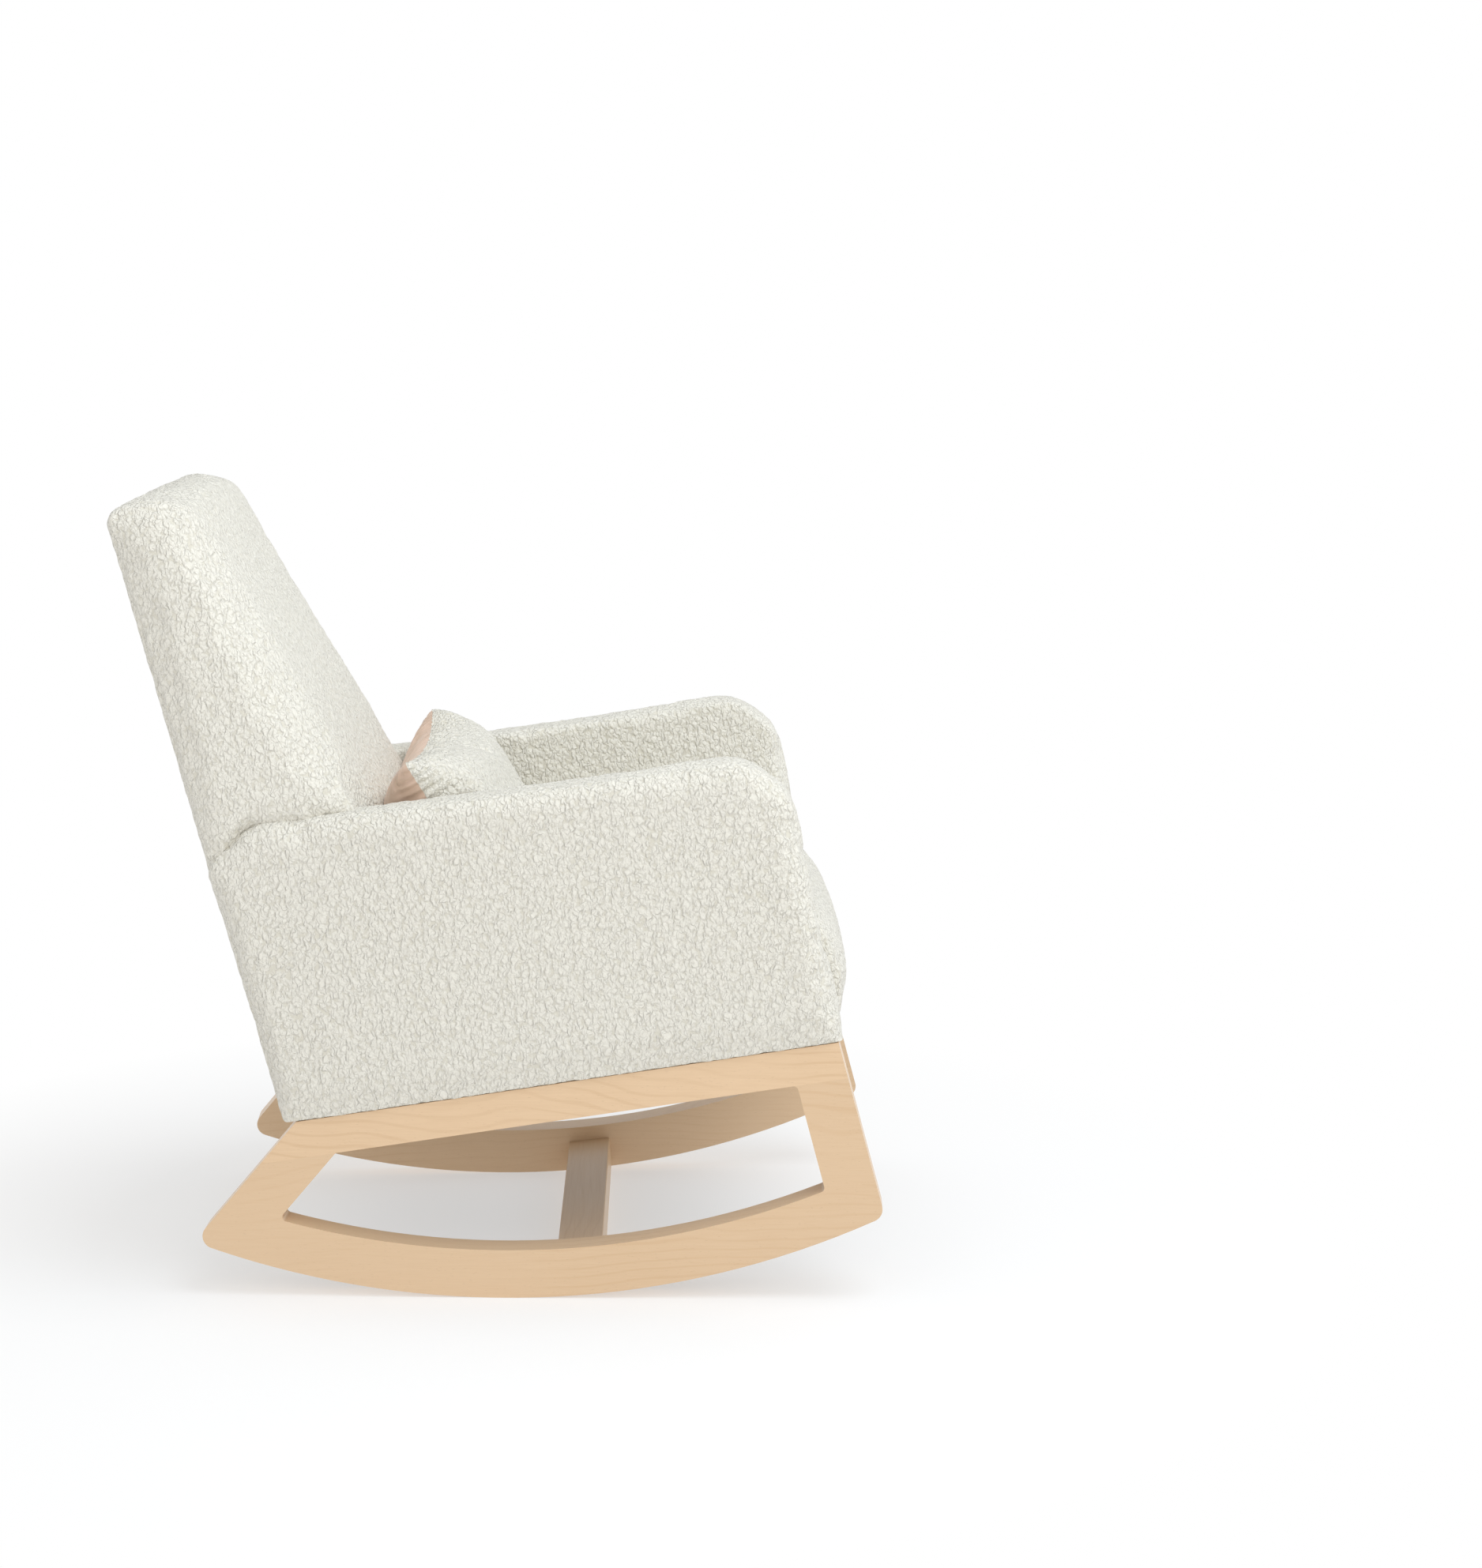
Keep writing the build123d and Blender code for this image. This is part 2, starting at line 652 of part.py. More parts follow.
def both_sides(builder):
    """One group that holds a right-hand set and its left-hand twin."""
    with BuildPart() as pair:
        add(builder.part)
        mirror(builder.part, about=Plane.YZ)
    return pair


pieces = {}
for name, builder in frame_pieces.items():
    pieces[name + "_right"] = builder
    pieces[name + "_left"] = mirrored(builder)
paired = {
    "side_rail": side_rail_right,
    "arm_board": arm_board_right,
    "arm_pad": arm_pad_right,
    "back_board": back_board_right,
}
for name, builder in paired.items():
    pieces[name + "_right"] = builder
    pieces[name + "_left"] = mirrored(builder)
pieces["frame_dowels"] = both_sides(dowels_right)
pieces["stretcher_dowels"] = both_sides(end_dowels_right)
pieces["frame_bolts"] = both_sides(bolts_right)
pieces["bolt_washers"] = both_sides(washers_right)
pieces["base_stretcher"] = base_stretcher
pieces["seat_front_rail"] = seat_front_rail
pieces["seat_back_rail"] = seat_back_rail
pieces["corner_blocks"] = corner_blocks
pieces["seat_webbing"] = seat_webbing
pieces["dust_cover"] = dust_cover
pieces["seat_cushion"] = seat_cushion
pieces["back_cushion"] = back_cushion
pieces["back_head_rail"] = back_head_rail
pieces["back_lumbar_rail"] = back_lumbar_rail
pieces["back_webbing"] = back_webbing
pieces["back_panel"] = back_panel
pieces["pillow_front"] = pillow_front
pieces["pillow_back"] = pillow_back

for name, builder in pieces.items():
    placed = builder.part.moved(Location((0, FOOTPRINT_SHIFT, 0)))
    placed.label = name
    export_step(placed, "parts/" + name + ".step")
    box = placed.bounding_box()
    print(f"{name:20s} {len(builder.part.solids())} solids, {builder.part.volume / 1e6:7.3f} l,", end=" ")
    print(f"{box.size.X:.0f} x {box.size.Y:.0f} x {box.size.Z:.0f} mm")
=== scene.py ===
# %% [markdown]
# # A nursery rocking chair
#
# Two pale maple side frames stand on curved runners. On top of them sits a body covered in
# curly cream sherpa: two arm pads, a tight seat that falls over the front rail, a tall wedge
# of a back and a padded rear panel. A small pillow, sherpa in front and pink velvet behind,
# leans loose in the seat. The frame comes ready made; the soft parts are made here.

# %% Load the frame
import bmesh
import bpy
import json
import math
import numpy as np
from mathutils import Matrix, Vector, noise


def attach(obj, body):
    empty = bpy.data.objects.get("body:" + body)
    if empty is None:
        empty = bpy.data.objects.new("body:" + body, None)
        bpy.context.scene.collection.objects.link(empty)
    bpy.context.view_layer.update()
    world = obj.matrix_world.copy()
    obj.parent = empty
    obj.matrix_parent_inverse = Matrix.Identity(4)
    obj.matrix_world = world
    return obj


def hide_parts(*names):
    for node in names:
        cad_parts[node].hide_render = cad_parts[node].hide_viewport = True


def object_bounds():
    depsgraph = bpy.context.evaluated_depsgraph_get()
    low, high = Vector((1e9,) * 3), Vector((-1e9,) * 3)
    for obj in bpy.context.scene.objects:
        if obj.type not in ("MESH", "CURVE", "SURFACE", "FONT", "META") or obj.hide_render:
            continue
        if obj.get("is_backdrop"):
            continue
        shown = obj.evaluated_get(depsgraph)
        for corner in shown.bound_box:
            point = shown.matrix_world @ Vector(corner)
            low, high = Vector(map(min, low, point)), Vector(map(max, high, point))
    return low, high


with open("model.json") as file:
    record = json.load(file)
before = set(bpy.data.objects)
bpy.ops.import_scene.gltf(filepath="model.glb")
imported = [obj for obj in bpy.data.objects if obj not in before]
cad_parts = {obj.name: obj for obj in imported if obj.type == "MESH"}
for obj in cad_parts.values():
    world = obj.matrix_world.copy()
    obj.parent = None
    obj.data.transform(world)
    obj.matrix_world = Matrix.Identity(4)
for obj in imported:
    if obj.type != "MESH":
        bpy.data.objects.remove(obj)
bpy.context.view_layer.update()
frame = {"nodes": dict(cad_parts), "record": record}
nodes = frame["nodes"]

# %% [markdown]
# ## Where things are
#
# The side view is easiest to think in as a distance forward and a height above the floor, in
# millimetres, from the point where the runners touch down. `place` turns that, with a distance
# across, into the chair's own metres. The side frames open towards the front, so the width
# between them depends on how far forward we are.

# %% Lines of the side view
SHIFT = 7.15            # from the touch-down point to the origin, millimetres
HALF_SPACING = 278.8
SPLAY = math.atan(0.0433)
RAIL_TOP = 264.5
RAIL_SLOPE = 0.156
PROUD = 4.0             # the covers stand this far outside the side frames
ARM_DEPTH = 62.0        # from the outer face of a side frame to the inner face of an arm
SEAT_DEPTH = 62.8       # and to the edge of the seat, a hair clear of the arm
REAR_FOOT = (-262.0, 236.0)     # the rear line of the body, forward and up
REAR_RUN = (-198.0, 730.0)


def place(forward, up, across):
    return Vector((across, -forward + SHIFT, up)) / 1000


def half_width(depth, forward):
    """Half the width between planes that lie depth inside the outer faces of the side frames."""
    return HALF_SPACING - depth / math.cos(SPLAY) + math.tan(SPLAY) * forward


def rail_top(forward):
    return RAIL_TOP + RAIL_SLOPE * forward


def back_face(up):
    """The front of the back."""
    return -165.0 + 0.546 * (649.0 - up)


def rear_face(up):
    """The rear of the body."""
    return REAR_FOOT[0] + (up - REAR_FOOT[1]) * REAR_RUN[0] / REAR_RUN[1]


print("clear width between the arms at the front:", round(2 * half_width(ARM_DEPTH, 400)), "mm")

# %% [markdown]
# ## Maple
#
# Planed maple is almost white. Its grain is a faint run of long soft streaks along the board,
# with broader arches where the saw left the growth rings, and short brown flecks. Each board
# has its own direction, so the same group of nodes is turned to run along it.

# %% Short hands for shader nodes
def new_group(name, inputs, outputs):
    """An empty shader group, its input node and its output node."""
    tree = bpy.data.node_groups.new(name, "ShaderNodeTree")
    for label, kind, value in inputs:
        socket = tree.interface.new_socket(label, in_out="INPUT", socket_type=kind)
        if value is not None:
            socket.default_value = value
    for label, kind in outputs:
        tree.interface.new_socket(label, in_out="OUTPUT", socket_type=kind)
    return tree, tree.nodes.new("NodeGroupInput"), tree.nodes.new("NodeGroupOutput")


def node(tree, kind, **settings):
    """A new node with its inputs, or its own properties, set by name."""
    made = tree.nodes.new(kind)
    for key, value in settings.items():
        if key in made.inputs:
            made.inputs[key].default_value = value
        else:
            setattr(made, key, value)
    return made


def ramp(tree, source, stops):
    """source, from 0 to 1, turned into a colour by (where, colour) stops."""
    made = tree.nodes.new("ShaderNodeValToRGB")
    points = made.color_ramp.elements
    while len(points) < len(stops):
        points.new(0.5)
    for point, (where, colour) in zip(points, stops):
        point.position = where
        point.color = (*colour, 1)
    tree.links.new(source, made.inputs[0])
    return made.outputs[0]


def mixed(tree, factor, a, b):
    """Colour a turning into colour b by factor. Each is a socket or a plain value."""
    made = tree.nodes.new("ShaderNodeMix")
    made.data_type = "RGBA"
    for socket, value in ((made.inputs[0], factor), (made.inputs[6], a), (made.inputs[7], b)):
        if isinstance(value, bpy.types.NodeSocket):
            tree.links.new(value, socket)
        elif isinstance(value, tuple):
            socket.default_value = (*value, 1)
        else:
            socket.default_value = value
    return made.outputs[2]


def maths(tree, operation, a, b=0.0, c=0.0):
    """One step of arithmetic on sockets or numbers."""
    made = tree.nodes.new("ShaderNodeMath")
    made.operation = operation
    for socket, value in zip(made.inputs, (a, b, c)):
        if isinstance(value, bpy.types.NodeSocket):
            tree.links.new(value, socket)
        else:
            socket.default_value = value
    return made.outputs[0]


print("five short hands for shader nodes")

# %% [markdown]
# The grain is built from four patterns along the board: bent growth rings that show only in
# patches, fine pores, short flecks, and a slow drift from pale to deep.

# %% The wood grain group
def grain_group():
    """Colour, roughness and height of planed wood whose boards run along the input's X."""
    tree, inside, outside = new_group(
        "planed_wood",
        [
            ("Vector", "NodeSocketVector", None),
            ("Pale", "NodeSocketColor", (0.80, 0.62, 0.43, 1)),
            ("Deep", "NodeSocketColor", (0.66, 0.46, 0.29, 1)),
        ],
        [
            ("Color", "NodeSocketColor"),
            ("Roughness", "NodeSocketFloat"),
            ("Height", "NodeSocketFloat"),
        ],
    )
    links = tree.links
    drift = node(tree, "ShaderNodeTexNoise", Scale=3.0, Detail=2.0)
    links.new(inside.outputs[0], drift.inputs["Vector"])
    along = node(tree, "ShaderNodeMapping")
    along.inputs["Scale"].default_value = (1.6, 22.0, 22.0)
    links.new(inside.outputs[0], along.inputs["Vector"])
    bent = node(tree, "ShaderNodeVectorMath", operation="MULTIPLY_ADD")
    links.new(drift.outputs["Color"], bent.inputs[0])
    bent.inputs[1].default_value = (1.6, 1.6, 1.6)
    links.new(along.outputs[0], bent.inputs[2])
    rings = node(tree, "ShaderNodeTexWave", wave_type="RINGS", rings_direction="X",
                 Scale=1.5, Distortion=3.0, Detail=2.0)
    links.new(bent.outputs[0], rings.inputs["Vector"])
    fine = node(tree, "ShaderNodeMapping")
    fine.inputs["Scale"].default_value = (9.0, 420.0, 420.0)
    links.new(inside.outputs[0], fine.inputs["Vector"])
    pores = node(tree, "ShaderNodeTexNoise", Scale=1.0, Detail=4.0, Roughness=0.7)
    links.new(fine.outputs[0], pores.inputs["Vector"])
    fleck_map = node(tree, "ShaderNodeMapping")
    fleck_map.inputs["Scale"].default_value = (70.0, 520.0, 520.0)
    links.new(inside.outputs[0], fleck_map.inputs["Vector"])
    flecks = node(tree, "ShaderNodeTexVoronoi", Scale=1.0)
    links.new(fleck_map.outputs[0], flecks.inputs["Vector"])
    broad = node(tree, "ShaderNodeTexNoise", Scale=5.0, Detail=1.0)
    links.new(inside.outputs[0], broad.inputs["Vector"])
    ring_mask = ramp(
        tree, rings.outputs["Fac"], [(0.0, (0, 0, 0)), (0.80, (0.10,) * 3), (0.96, (1,) * 3)])
    pore_mask = ramp(tree, pores.outputs["Fac"], [(0.36, (0, 0, 0)), (0.66, (1,) * 3)])
    fleck_mask = ramp(tree, flecks.outputs["Distance"], [(0.0, (1,) * 3), (0.17, (0, 0, 0))])
    patchy = ramp(tree, broad.outputs["Fac"], [(0.38, (0.15,) * 3), (0.62, (1,) * 3)])
    share = maths(tree, "MULTIPLY", maths(tree, "MULTIPLY", ring_mask, patchy), 0.34)
    share = maths(tree, "MULTIPLY_ADD", pore_mask, 0.22, share)
    share = maths(tree, "MULTIPLY_ADD", broad.outputs["Fac"], 0.25, share)
    colour = mixed(tree, share, inside.outputs["Pale"], inside.outputs["Deep"])
    colour = mixed(tree, maths(tree, "MULTIPLY", fleck_mask, 0.45), colour, (0.42, 0.27, 0.15))
    links.new(colour, outside.inputs["Color"])
    rough = maths(tree, "MULTIPLY_ADD", pore_mask, 0.10, 0.34)
    links.new(rough, outside.inputs["Roughness"])
    links.new(maths(tree, "MULTIPLY_ADD", fleck_mask, -0.5, pore_mask), outside.inputs["Height"])
    return tree


planed_wood = grain_group()
print("group", planed_wood.name, "with", len(planed_wood.nodes), "nodes")

# %% [markdown]
# A board is the grain group turned to its own direction, under a thin satin coat.

# %% A board
def wood(name, turn, pale, deep, offset=(0.0, 0.0, 0.0), coat=0.25):
    """A board whose grain runs level when turn is (0, 0, 0), turned by those degrees."""
    made = bpy.data.materials.new(name)
    made.use_nodes = True
    tree = made.node_tree
    shader = tree.nodes["Principled BSDF"]
    shader.inputs["Coat Weight"].default_value = coat
    shader.inputs["Coat Roughness"].default_value = 0.22
    where = tree.nodes.new("ShaderNodeTexCoord")
    turned = node(tree, "ShaderNodeMapping", vector_type="TEXTURE")
    turned.inputs["Rotation"].default_value = [math.radians(t) for t in turn]
    turned.inputs["Location"].default_value = offset
    tree.links.new(where.outputs["Object"], turned.inputs["Vector"])
    grain = tree.nodes.new("ShaderNodeGroup")
    grain.node_tree = planed_wood
    grain.inputs["Pale"].default_value = (*pale, 1)
    grain.inputs["Deep"].default_value = (*deep, 1)
    tree.links.new(turned.outputs[0], grain.inputs["Vector"])
    bump = node(tree, "ShaderNodeBump", Strength=0.12, Distance=0.0004)
    tree.links.new(grain.outputs["Height"], bump.inputs["Height"])
    tree.links.new(grain.outputs["Color"], shader.inputs["Base Color"])
    tree.links.new(grain.outputs["Roughness"], shader.inputs["Roughness"])
    tree.links.new(bump.outputs[0], shader.inputs["Normal"])
    return made


print("boards carry a coat of strength", wood.__defaults__[1])

# %% [markdown]
# ## The side frames
#
# The rail follows its own slope, the posts lean, and the runner was cut from a level board.
# The stretcher's grain runs across the chair. Hidden boards are plainer hardwood.

# %% Wood on the frame
MAPLE_PALE = (0.76, 0.55, 0.35)
MAPLE_DEEP = (0.66, 0.445, 0.255)
# degrees about X that lay the grain along each kind of board, and where its pattern starts
BOARDS = {
    "top_rail": (-8.9, 0.11),
    "front_post": (75.2, 0.47),
    "back_post": (-130.2, 0.83),
    "runner": (-2.0, 1.31),
}
maple = {}
for kind, (slope, start) in BOARDS.items():
    for side in ("right", "left"):
        offset = (0.07 if side == "left" else 0.0, start, start * 0.37)
        # the rail came from a paler board than the rest
        pale = tuple(c * (1.05 if kind == "top_rail" else 0.98) for c in MAPLE_PALE)
        made = wood("maple_" + kind + "_" + side, (slope, 0, 90), pale, MAPLE_DEEP, offset)
        maple[kind + "_" + side] = made
maple["base_stretcher"] = wood(
    "maple_stretcher", (0, 0, 0), MAPLE_PALE, MAPLE_DEEP, (0.3, 0.1, 0.2))
hardwood = wood("plain_hardwood", (0, 0, 90), (0.62, 0.46, 0.30), (0.48, 0.33, 0.20), coat=0.0)


def paint(name, material):
    mesh = nodes[name].data
    mesh.materials.clear()
    mesh.materials.append(material)


for name, material in maple.items():
    paint(name, material)
    bevel = nodes[name].modifiers.new("eased_edges", "BEVEL")
    bevel.width = 0.0012
    bevel.segments = 2
    bevel.limit_method = "ANGLE"
    bevel.angle_limit = math.radians(40)
print(len(maple), "maple boards")

# %% [markdown]
# ## What the covers hide
#
# Inside the body are a hardwood frame, black elastic webbing and a black dust cover. Bolts,
# washers and dowels hold it all to the maple frames. Each gets a plain finish of its own.

# %% Finishes of the hidden parts
def plain(name, colour, roughness, metallic=0.0, scale=300.0, stretch=(1, 1, 1), depth=0.0004):
    """A finish with a small regular texture, for woven and metal parts."""
    made = bpy.data.materials.new(name)
    made.use_nodes = True
    tree = made.node_tree
    shader = tree.nodes["Principled BSDF"]
    shader.inputs["Roughness"].default_value = roughness
    shader.inputs["Metallic"].default_value = metallic
    where = tree.nodes.new("ShaderNodeTexCoord")
    sized = node(tree, "ShaderNodeMapping")
    sized.inputs["Scale"].default_value = stretch
    tree.links.new(where.outputs["Object"], sized.inputs["Vector"])
    speckle = node(tree, "ShaderNodeTexNoise", Scale=scale, Detail=2.0)
    tree.links.new(sized.outputs[0], speckle.inputs["Vector"])
    darker = tuple(c * 0.6 for c in colour)
    tree.links.new(mixed(tree, speckle.outputs["Fac"], darker, colour), shader.inputs["Base Color"])
    bump = node(tree, "ShaderNodeBump", Strength=0.4, Distance=depth)
    tree.links.new(speckle.outputs["Fac"], bump.inputs["Height"])
    tree.links.new(bump.outputs[0], shader.inputs["Normal"])
    return made


webbing = plain("woven_webbing", (0.10, 0.10, 0.11), 0.85, scale=500.0, stretch=(1, 1, 3))
lining = plain("dust_cloth", (0.12, 0.12, 0.12), 0.95, scale=900.0)
zinc = plain("zinc_steel", (0.60, 0.60, 0.60), 0.38, metallic=1.0, scale=200.0, depth=0.0001)
by_slot = {"hardwood": hardwood, "webbing": webbing, "lining": lining, "zinc_steel": zinc}
slot_of = {s["node"]: s["material_slot"] for s in frame["record"]["subparts"]}
for name, slot_name in slot_of.items():
    if slot_name in by_slot:
        paint(name, by_slot[slot_name])
print("hidden parts painted:", sum(s in by_slot for s in slot_of.values()))

# %% [markdown]
# ## Sherpa and velvet
#
# Sherpa is a knit whose pile has been tumbled into tight curls, each under a centimetre. The
# tips catch the light, and the gaps between curls are painted grey-beige as painted shade. Light
# also scatters back from the loose fibres, so the outline never goes dark. The velvet on the
# back of the pillow is smooth, dusty pink and bright where its pile is seen from the side.

# %% The curl group
def curl_group():
    """Colour, with painted shade between the curls, and height of pile with curls taller than wide.
    """
    tree, inside, outside = new_group(
        "curled_pile",
        [
            ("Vector", "NodeSocketVector", None),
            ("Tip", "NodeSocketColor", (0.81, 0.79, 0.72, 1)),
            # the second colour is painted shade, for the gaps between the curls
            ("Painted shade", "NodeSocketColor", (0.62, 0.59, 0.50, 1)),
        ],
        [("Color", "NodeSocketColor"), ("Height", "NodeSocketFloat")],
    )
    links = tree.links
    sway = node(tree, "ShaderNodeTexNoise", Scale=120.0, Detail=1.0)
    links.new(inside.outputs[0], sway.inputs["Vector"])
    bent = node(tree, "ShaderNodeVectorMath", operation="MULTIPLY_ADD")
    links.new(sway.outputs["Color"], bent.inputs[0])
    bent.inputs[1].default_value = (0.009, 0.009, 0.009)
    links.new(inside.outputs[0], bent.inputs[2])
    tall = node(tree, "ShaderNodeMapping")
    tall.inputs["Scale"].default_value = (1.0, 1.0, 0.55)
    links.new(bent.outputs[0], tall.inputs["Vector"])
    curls = node(tree, "ShaderNodeTexVoronoi", feature="SMOOTH_F1", Scale=245.0, Smoothness=0.15)
    links.new(tall.outputs[0], curls.inputs["Vector"])
    locks = node(tree, "ShaderNodeTexNoise", Scale=420.0, Detail=2.0, Roughness=0.6)
    links.new(bent.outputs[0], locks.inputs["Vector"])
    patch = node(tree, "ShaderNodeTexNoise", Scale=14.0, Detail=2.0)
    links.new(inside.outputs[0], patch.inputs["Vector"])
    body = ramp(tree, curls.outputs["Distance"], [(0.30, (1,) * 3), (0.80, (0,) * 3)])
    height = maths(tree, "MULTIPLY_ADD", locks.outputs["Fac"], 0.45, body)
    shade_and_tone = maths(tree, "MULTIPLY_ADD", patch.outputs["Fac"], 0.14, height)
    # painted shade: deep in the pile, between the curls, the colour goes to the darker second
    # colour; the patches vary the tone at random
    shade = ramp(tree, shade_and_tone, [(0.25, (0,) * 3), (0.62, (0.85,) * 3), (1.0, (1,) * 3)])
    colour = mixed(tree, shade, inside.outputs["Painted shade"], inside.outputs["Tip"])
    links.new(colour, outside.inputs["Color"])
    links.new(height, outside.inputs["Height"])
    return tree


curled_pile = curl_group()
print("group", curled_pile.name, "with", len(curled_pile.nodes), "nodes")

# %% [markdown]
# Velvet is a brushed nap: broad strokes where a hand has passed, over a very fine fuzz. The
# strokes are painted lighter and darker, a painted sheen of the nap.

# %% The nap group
def nap_group():
    """Colour and height of velvet brushed in broad strokes, with their sheen painted into the
    colour.
    """
    tree, inside, outside = new_group(
        "brushed_nap",
        [
            ("Vector", "NodeSocketVector", None),
            ("Tip", "NodeSocketColor", (0.60, 0.42, 0.35, 1)),
            # the second colour is painted shade, for the darker brush strokes
            ("Painted shade", "NodeSocketColor", (0.42, 0.28, 0.23, 1)),
        ],
        [("Color", "NodeSocketColor"), ("Height", "NodeSocketFloat")],
    )
    stroke = node(tree, "ShaderNodeTexNoise", Scale=30.0, Detail=3.0, Distortion=0.6)
    fuzz = node(tree, "ShaderNodeTexNoise", Scale=1500.0, Detail=1.0)
    for texture in (stroke, fuzz):
        tree.links.new(inside.outputs[0], texture.inputs["Vector"])
    # painted sheen: the brush strokes are painted lighter and darker, as the nap would catch the
    # light
    share = ramp(tree, stroke.outputs["Fac"], [(0.35, (0,) * 3), (0.65, (1,) * 3)])
    colour = mixed(tree, share, inside.outputs["Painted shade"], inside.outputs["Tip"])
    tree.links.new(colour, outside.inputs["Color"])
    tree.links.new(fuzz.outputs["Fac"], outside.inputs["Height"])
    return tree


brushed_nap = nap_group()
print("group", brushed_nap.name, "with", len(brushed_nap.nodes), "nodes")

# %% [markdown]
# Both cloths are the same soft material around their own group.

# %% The two cloths
def cloth_material(name, group, colours, bump_distance, sheen, sheen_tint, roughness):
    """A cloth whose colour and relief come from group, with fibres that scatter light."""
    made = bpy.data.materials.new(name)
    made.use_nodes = True
    tree = made.node_tree
    shader = tree.nodes["Principled BSDF"]
    shader.inputs["Roughness"].default_value = roughness
    shader.inputs["Specular IOR Level"].default_value = 0.15
    shader.inputs["Sheen Weight"].default_value = sheen
    shader.inputs["Sheen Roughness"].default_value = 0.45
    shader.inputs["Sheen Tint"].default_value = (*sheen_tint, 1)
    where = tree.nodes.new("ShaderNodeTexCoord")
    pile = tree.nodes.new("ShaderNodeGroup")
    pile.node_tree = group
    # the group's colours are set here, the second one painted shade
    for key, colour in colours.items():
        pile.inputs[key].default_value = (*colour, 1)
    tree.links.new(where.outputs["Object"], pile.inputs["Vector"])
    bump = node(tree, "ShaderNodeBump", Strength=1.0, Distance=bump_distance)
    tree.links.new(pile.outputs["Height"], bump.inputs["Height"])
    tree.links.new(pile.outputs["Color"], shader.inputs["Base Color"])
    tree.links.new(bump.outputs[0], shader.inputs["Normal"])
    return made


# sherpa's second colour is the painted shade between its curls
sherpa = cloth_material(
    "sherpa", curled_pile, {"Tip": (0.81, 0.785, 0.705), "Painted shade": (0.68, 0.65, 0.56)},
    0.0018, 0.25, (1.0, 1.0, 1.0), 0.9)
# velvet's second colour is the painted shade of its darker strokes, part of its painted sheen
velvet = cloth_material(
    "velvet", brushed_nap, {"Tip": (0.78, 0.58, 0.47), "Painted shade": (0.64, 0.47, 0.36)},
    0.0003, 0.60, (1.0, 0.90, 0.82), 0.6)
print("cloths:", sherpa.name, "and", velvet.name)

# %% [markdown]
# ## Making soft parts
#
# A soft part starts as a plain solid drawn in the side view, with rounded corners. It is
# rebuilt as an even skin, its edges are eased, and a short cloth simulation blows it up like
# foam under a tight cover. How far the cover may move is capped, and less near a seam.

# %% Outlines and solids
def rounded(corners, steps=7):
    """A closed outline through (forward, up, radius) corners."""
    points = []
    for i, (u, v, radius) in enumerate(corners):
        corner = Vector((u, v))
        before = Vector(corners[i - 1][:2]) - corner
        after = Vector(corners[(i + 1) % len(corners)][:2]) - corner
        turn = before.angle(after)
        reach = radius / math.tan(turn / 2) if radius else 0.0
        reach = min(reach, before.length * 0.48, after.length * 0.48)
        if not reach:
            points.append(corner)
            continue
        start = corner + before.normalized() * reach
        end = corner + after.normalized() * reach
        for k in range(steps + 1):
            t = k / steps
            points.append(start * (1 - t) ** 2 + corner * 2 * t * (1 - t) + end * t * t)
    return points


def divided(points, step=10.0):
    """The same outline with no side longer than step."""
    result = []
    for i, point in enumerate(points):
        after = points[(i + 1) % len(points)]
        count = max(1, math.ceil((after - point).length / step))
        result += [point.lerp(after, k / count) for k in range(count)]
    return result


def prism(bm, corners, inner, outer):
    """Adds the solid over an outline, from inner to outer across, both functions of (u, v)."""
    outline = divided(rounded(corners))
    rings = []
    for across in (inner, outer):
        rings.append([bm.verts.new(place(p.x, p.y, across(p.x, p.y))) for p in outline])
    near, far = rings
    caps = [bm.faces.new(near), bm.faces.new(far[::-1])]
    for i in range(len(outline)):
        j = (i + 1) % len(outline)
        bm.faces.new((near[i], far[i], far[j], near[j]))
    bmesh.ops.triangulate(bm, faces=caps)


print("outlines are cut to sides of", divided.__defaults__[0], "mm at most")

# %% [markdown]
# The helpers below read and move all the points of a mesh at once. `even_skin` turns a rough
# solid into an even skin of small squares with its edges eased.

# %% Skins
def new_object(name, mesh):
    made = bpy.data.objects.new(name, mesh)
    bpy.context.scene.collection.objects.link(made)
    return made


def settle_modifiers(obj):
    """Applies every modifier of obj to its mesh."""
    graph = bpy.context.evaluated_depsgraph_get()
    graph.update()
    mesh = bpy.data.meshes.new_from_object(obj.evaluated_get(graph))
    obj.modifiers.clear()
    obj.data = mesh


def vertices(obj):
    flat = np.empty(len(obj.data.vertices) * 3, dtype=np.float64)
    obj.data.vertices.foreach_get("co", flat)
    return flat.reshape(-1, 3)


def move_vertices(obj, where):
    obj.data.vertices.foreach_set("co", np.ascontiguousarray(where, dtype=np.float32).ravel())
    obj.data.update()


def normals(obj):
    flat = np.empty(len(obj.data.vertices) * 3, dtype=np.float32)
    obj.data.vertex_normals.foreach_get("vector", flat)
    return flat.reshape(-1, 3).astype(np.float64)


def side_view(where):
    """Distances forward, up and across, in millimetres."""
    return SHIFT - where[:, 1] * 1000, where[:, 2] * 1000, where[:, 0] * 1000


def even_skin(name, bm, voxel=0.007, easing=14):
    bmesh.ops.recalc_face_normals(bm, faces=bm.faces)
    mesh = bpy.data.meshes.new(name)
    bm.to_mesh(mesh)
    bm.free()
    obj = new_object(name, mesh)
    skin = obj.modifiers.new("skin", "REMESH")
    skin.mode = "VOXEL"
    skin.voxel_size = voxel
    ease = obj.modifiers.new("ease", "SMOOTH")
    ease.factor = 0.5
    ease.iterations = easing
    settle_modifiers(obj)
    return obj


print("skins are", even_skin.__defaults__[0] * 1000, "mm squares")

# %% [markdown]
# The cloth simulation has no gravity: only the pressure of the filling moves the cover. Its
# result is kept as plain points, with long moves held back to the cap.

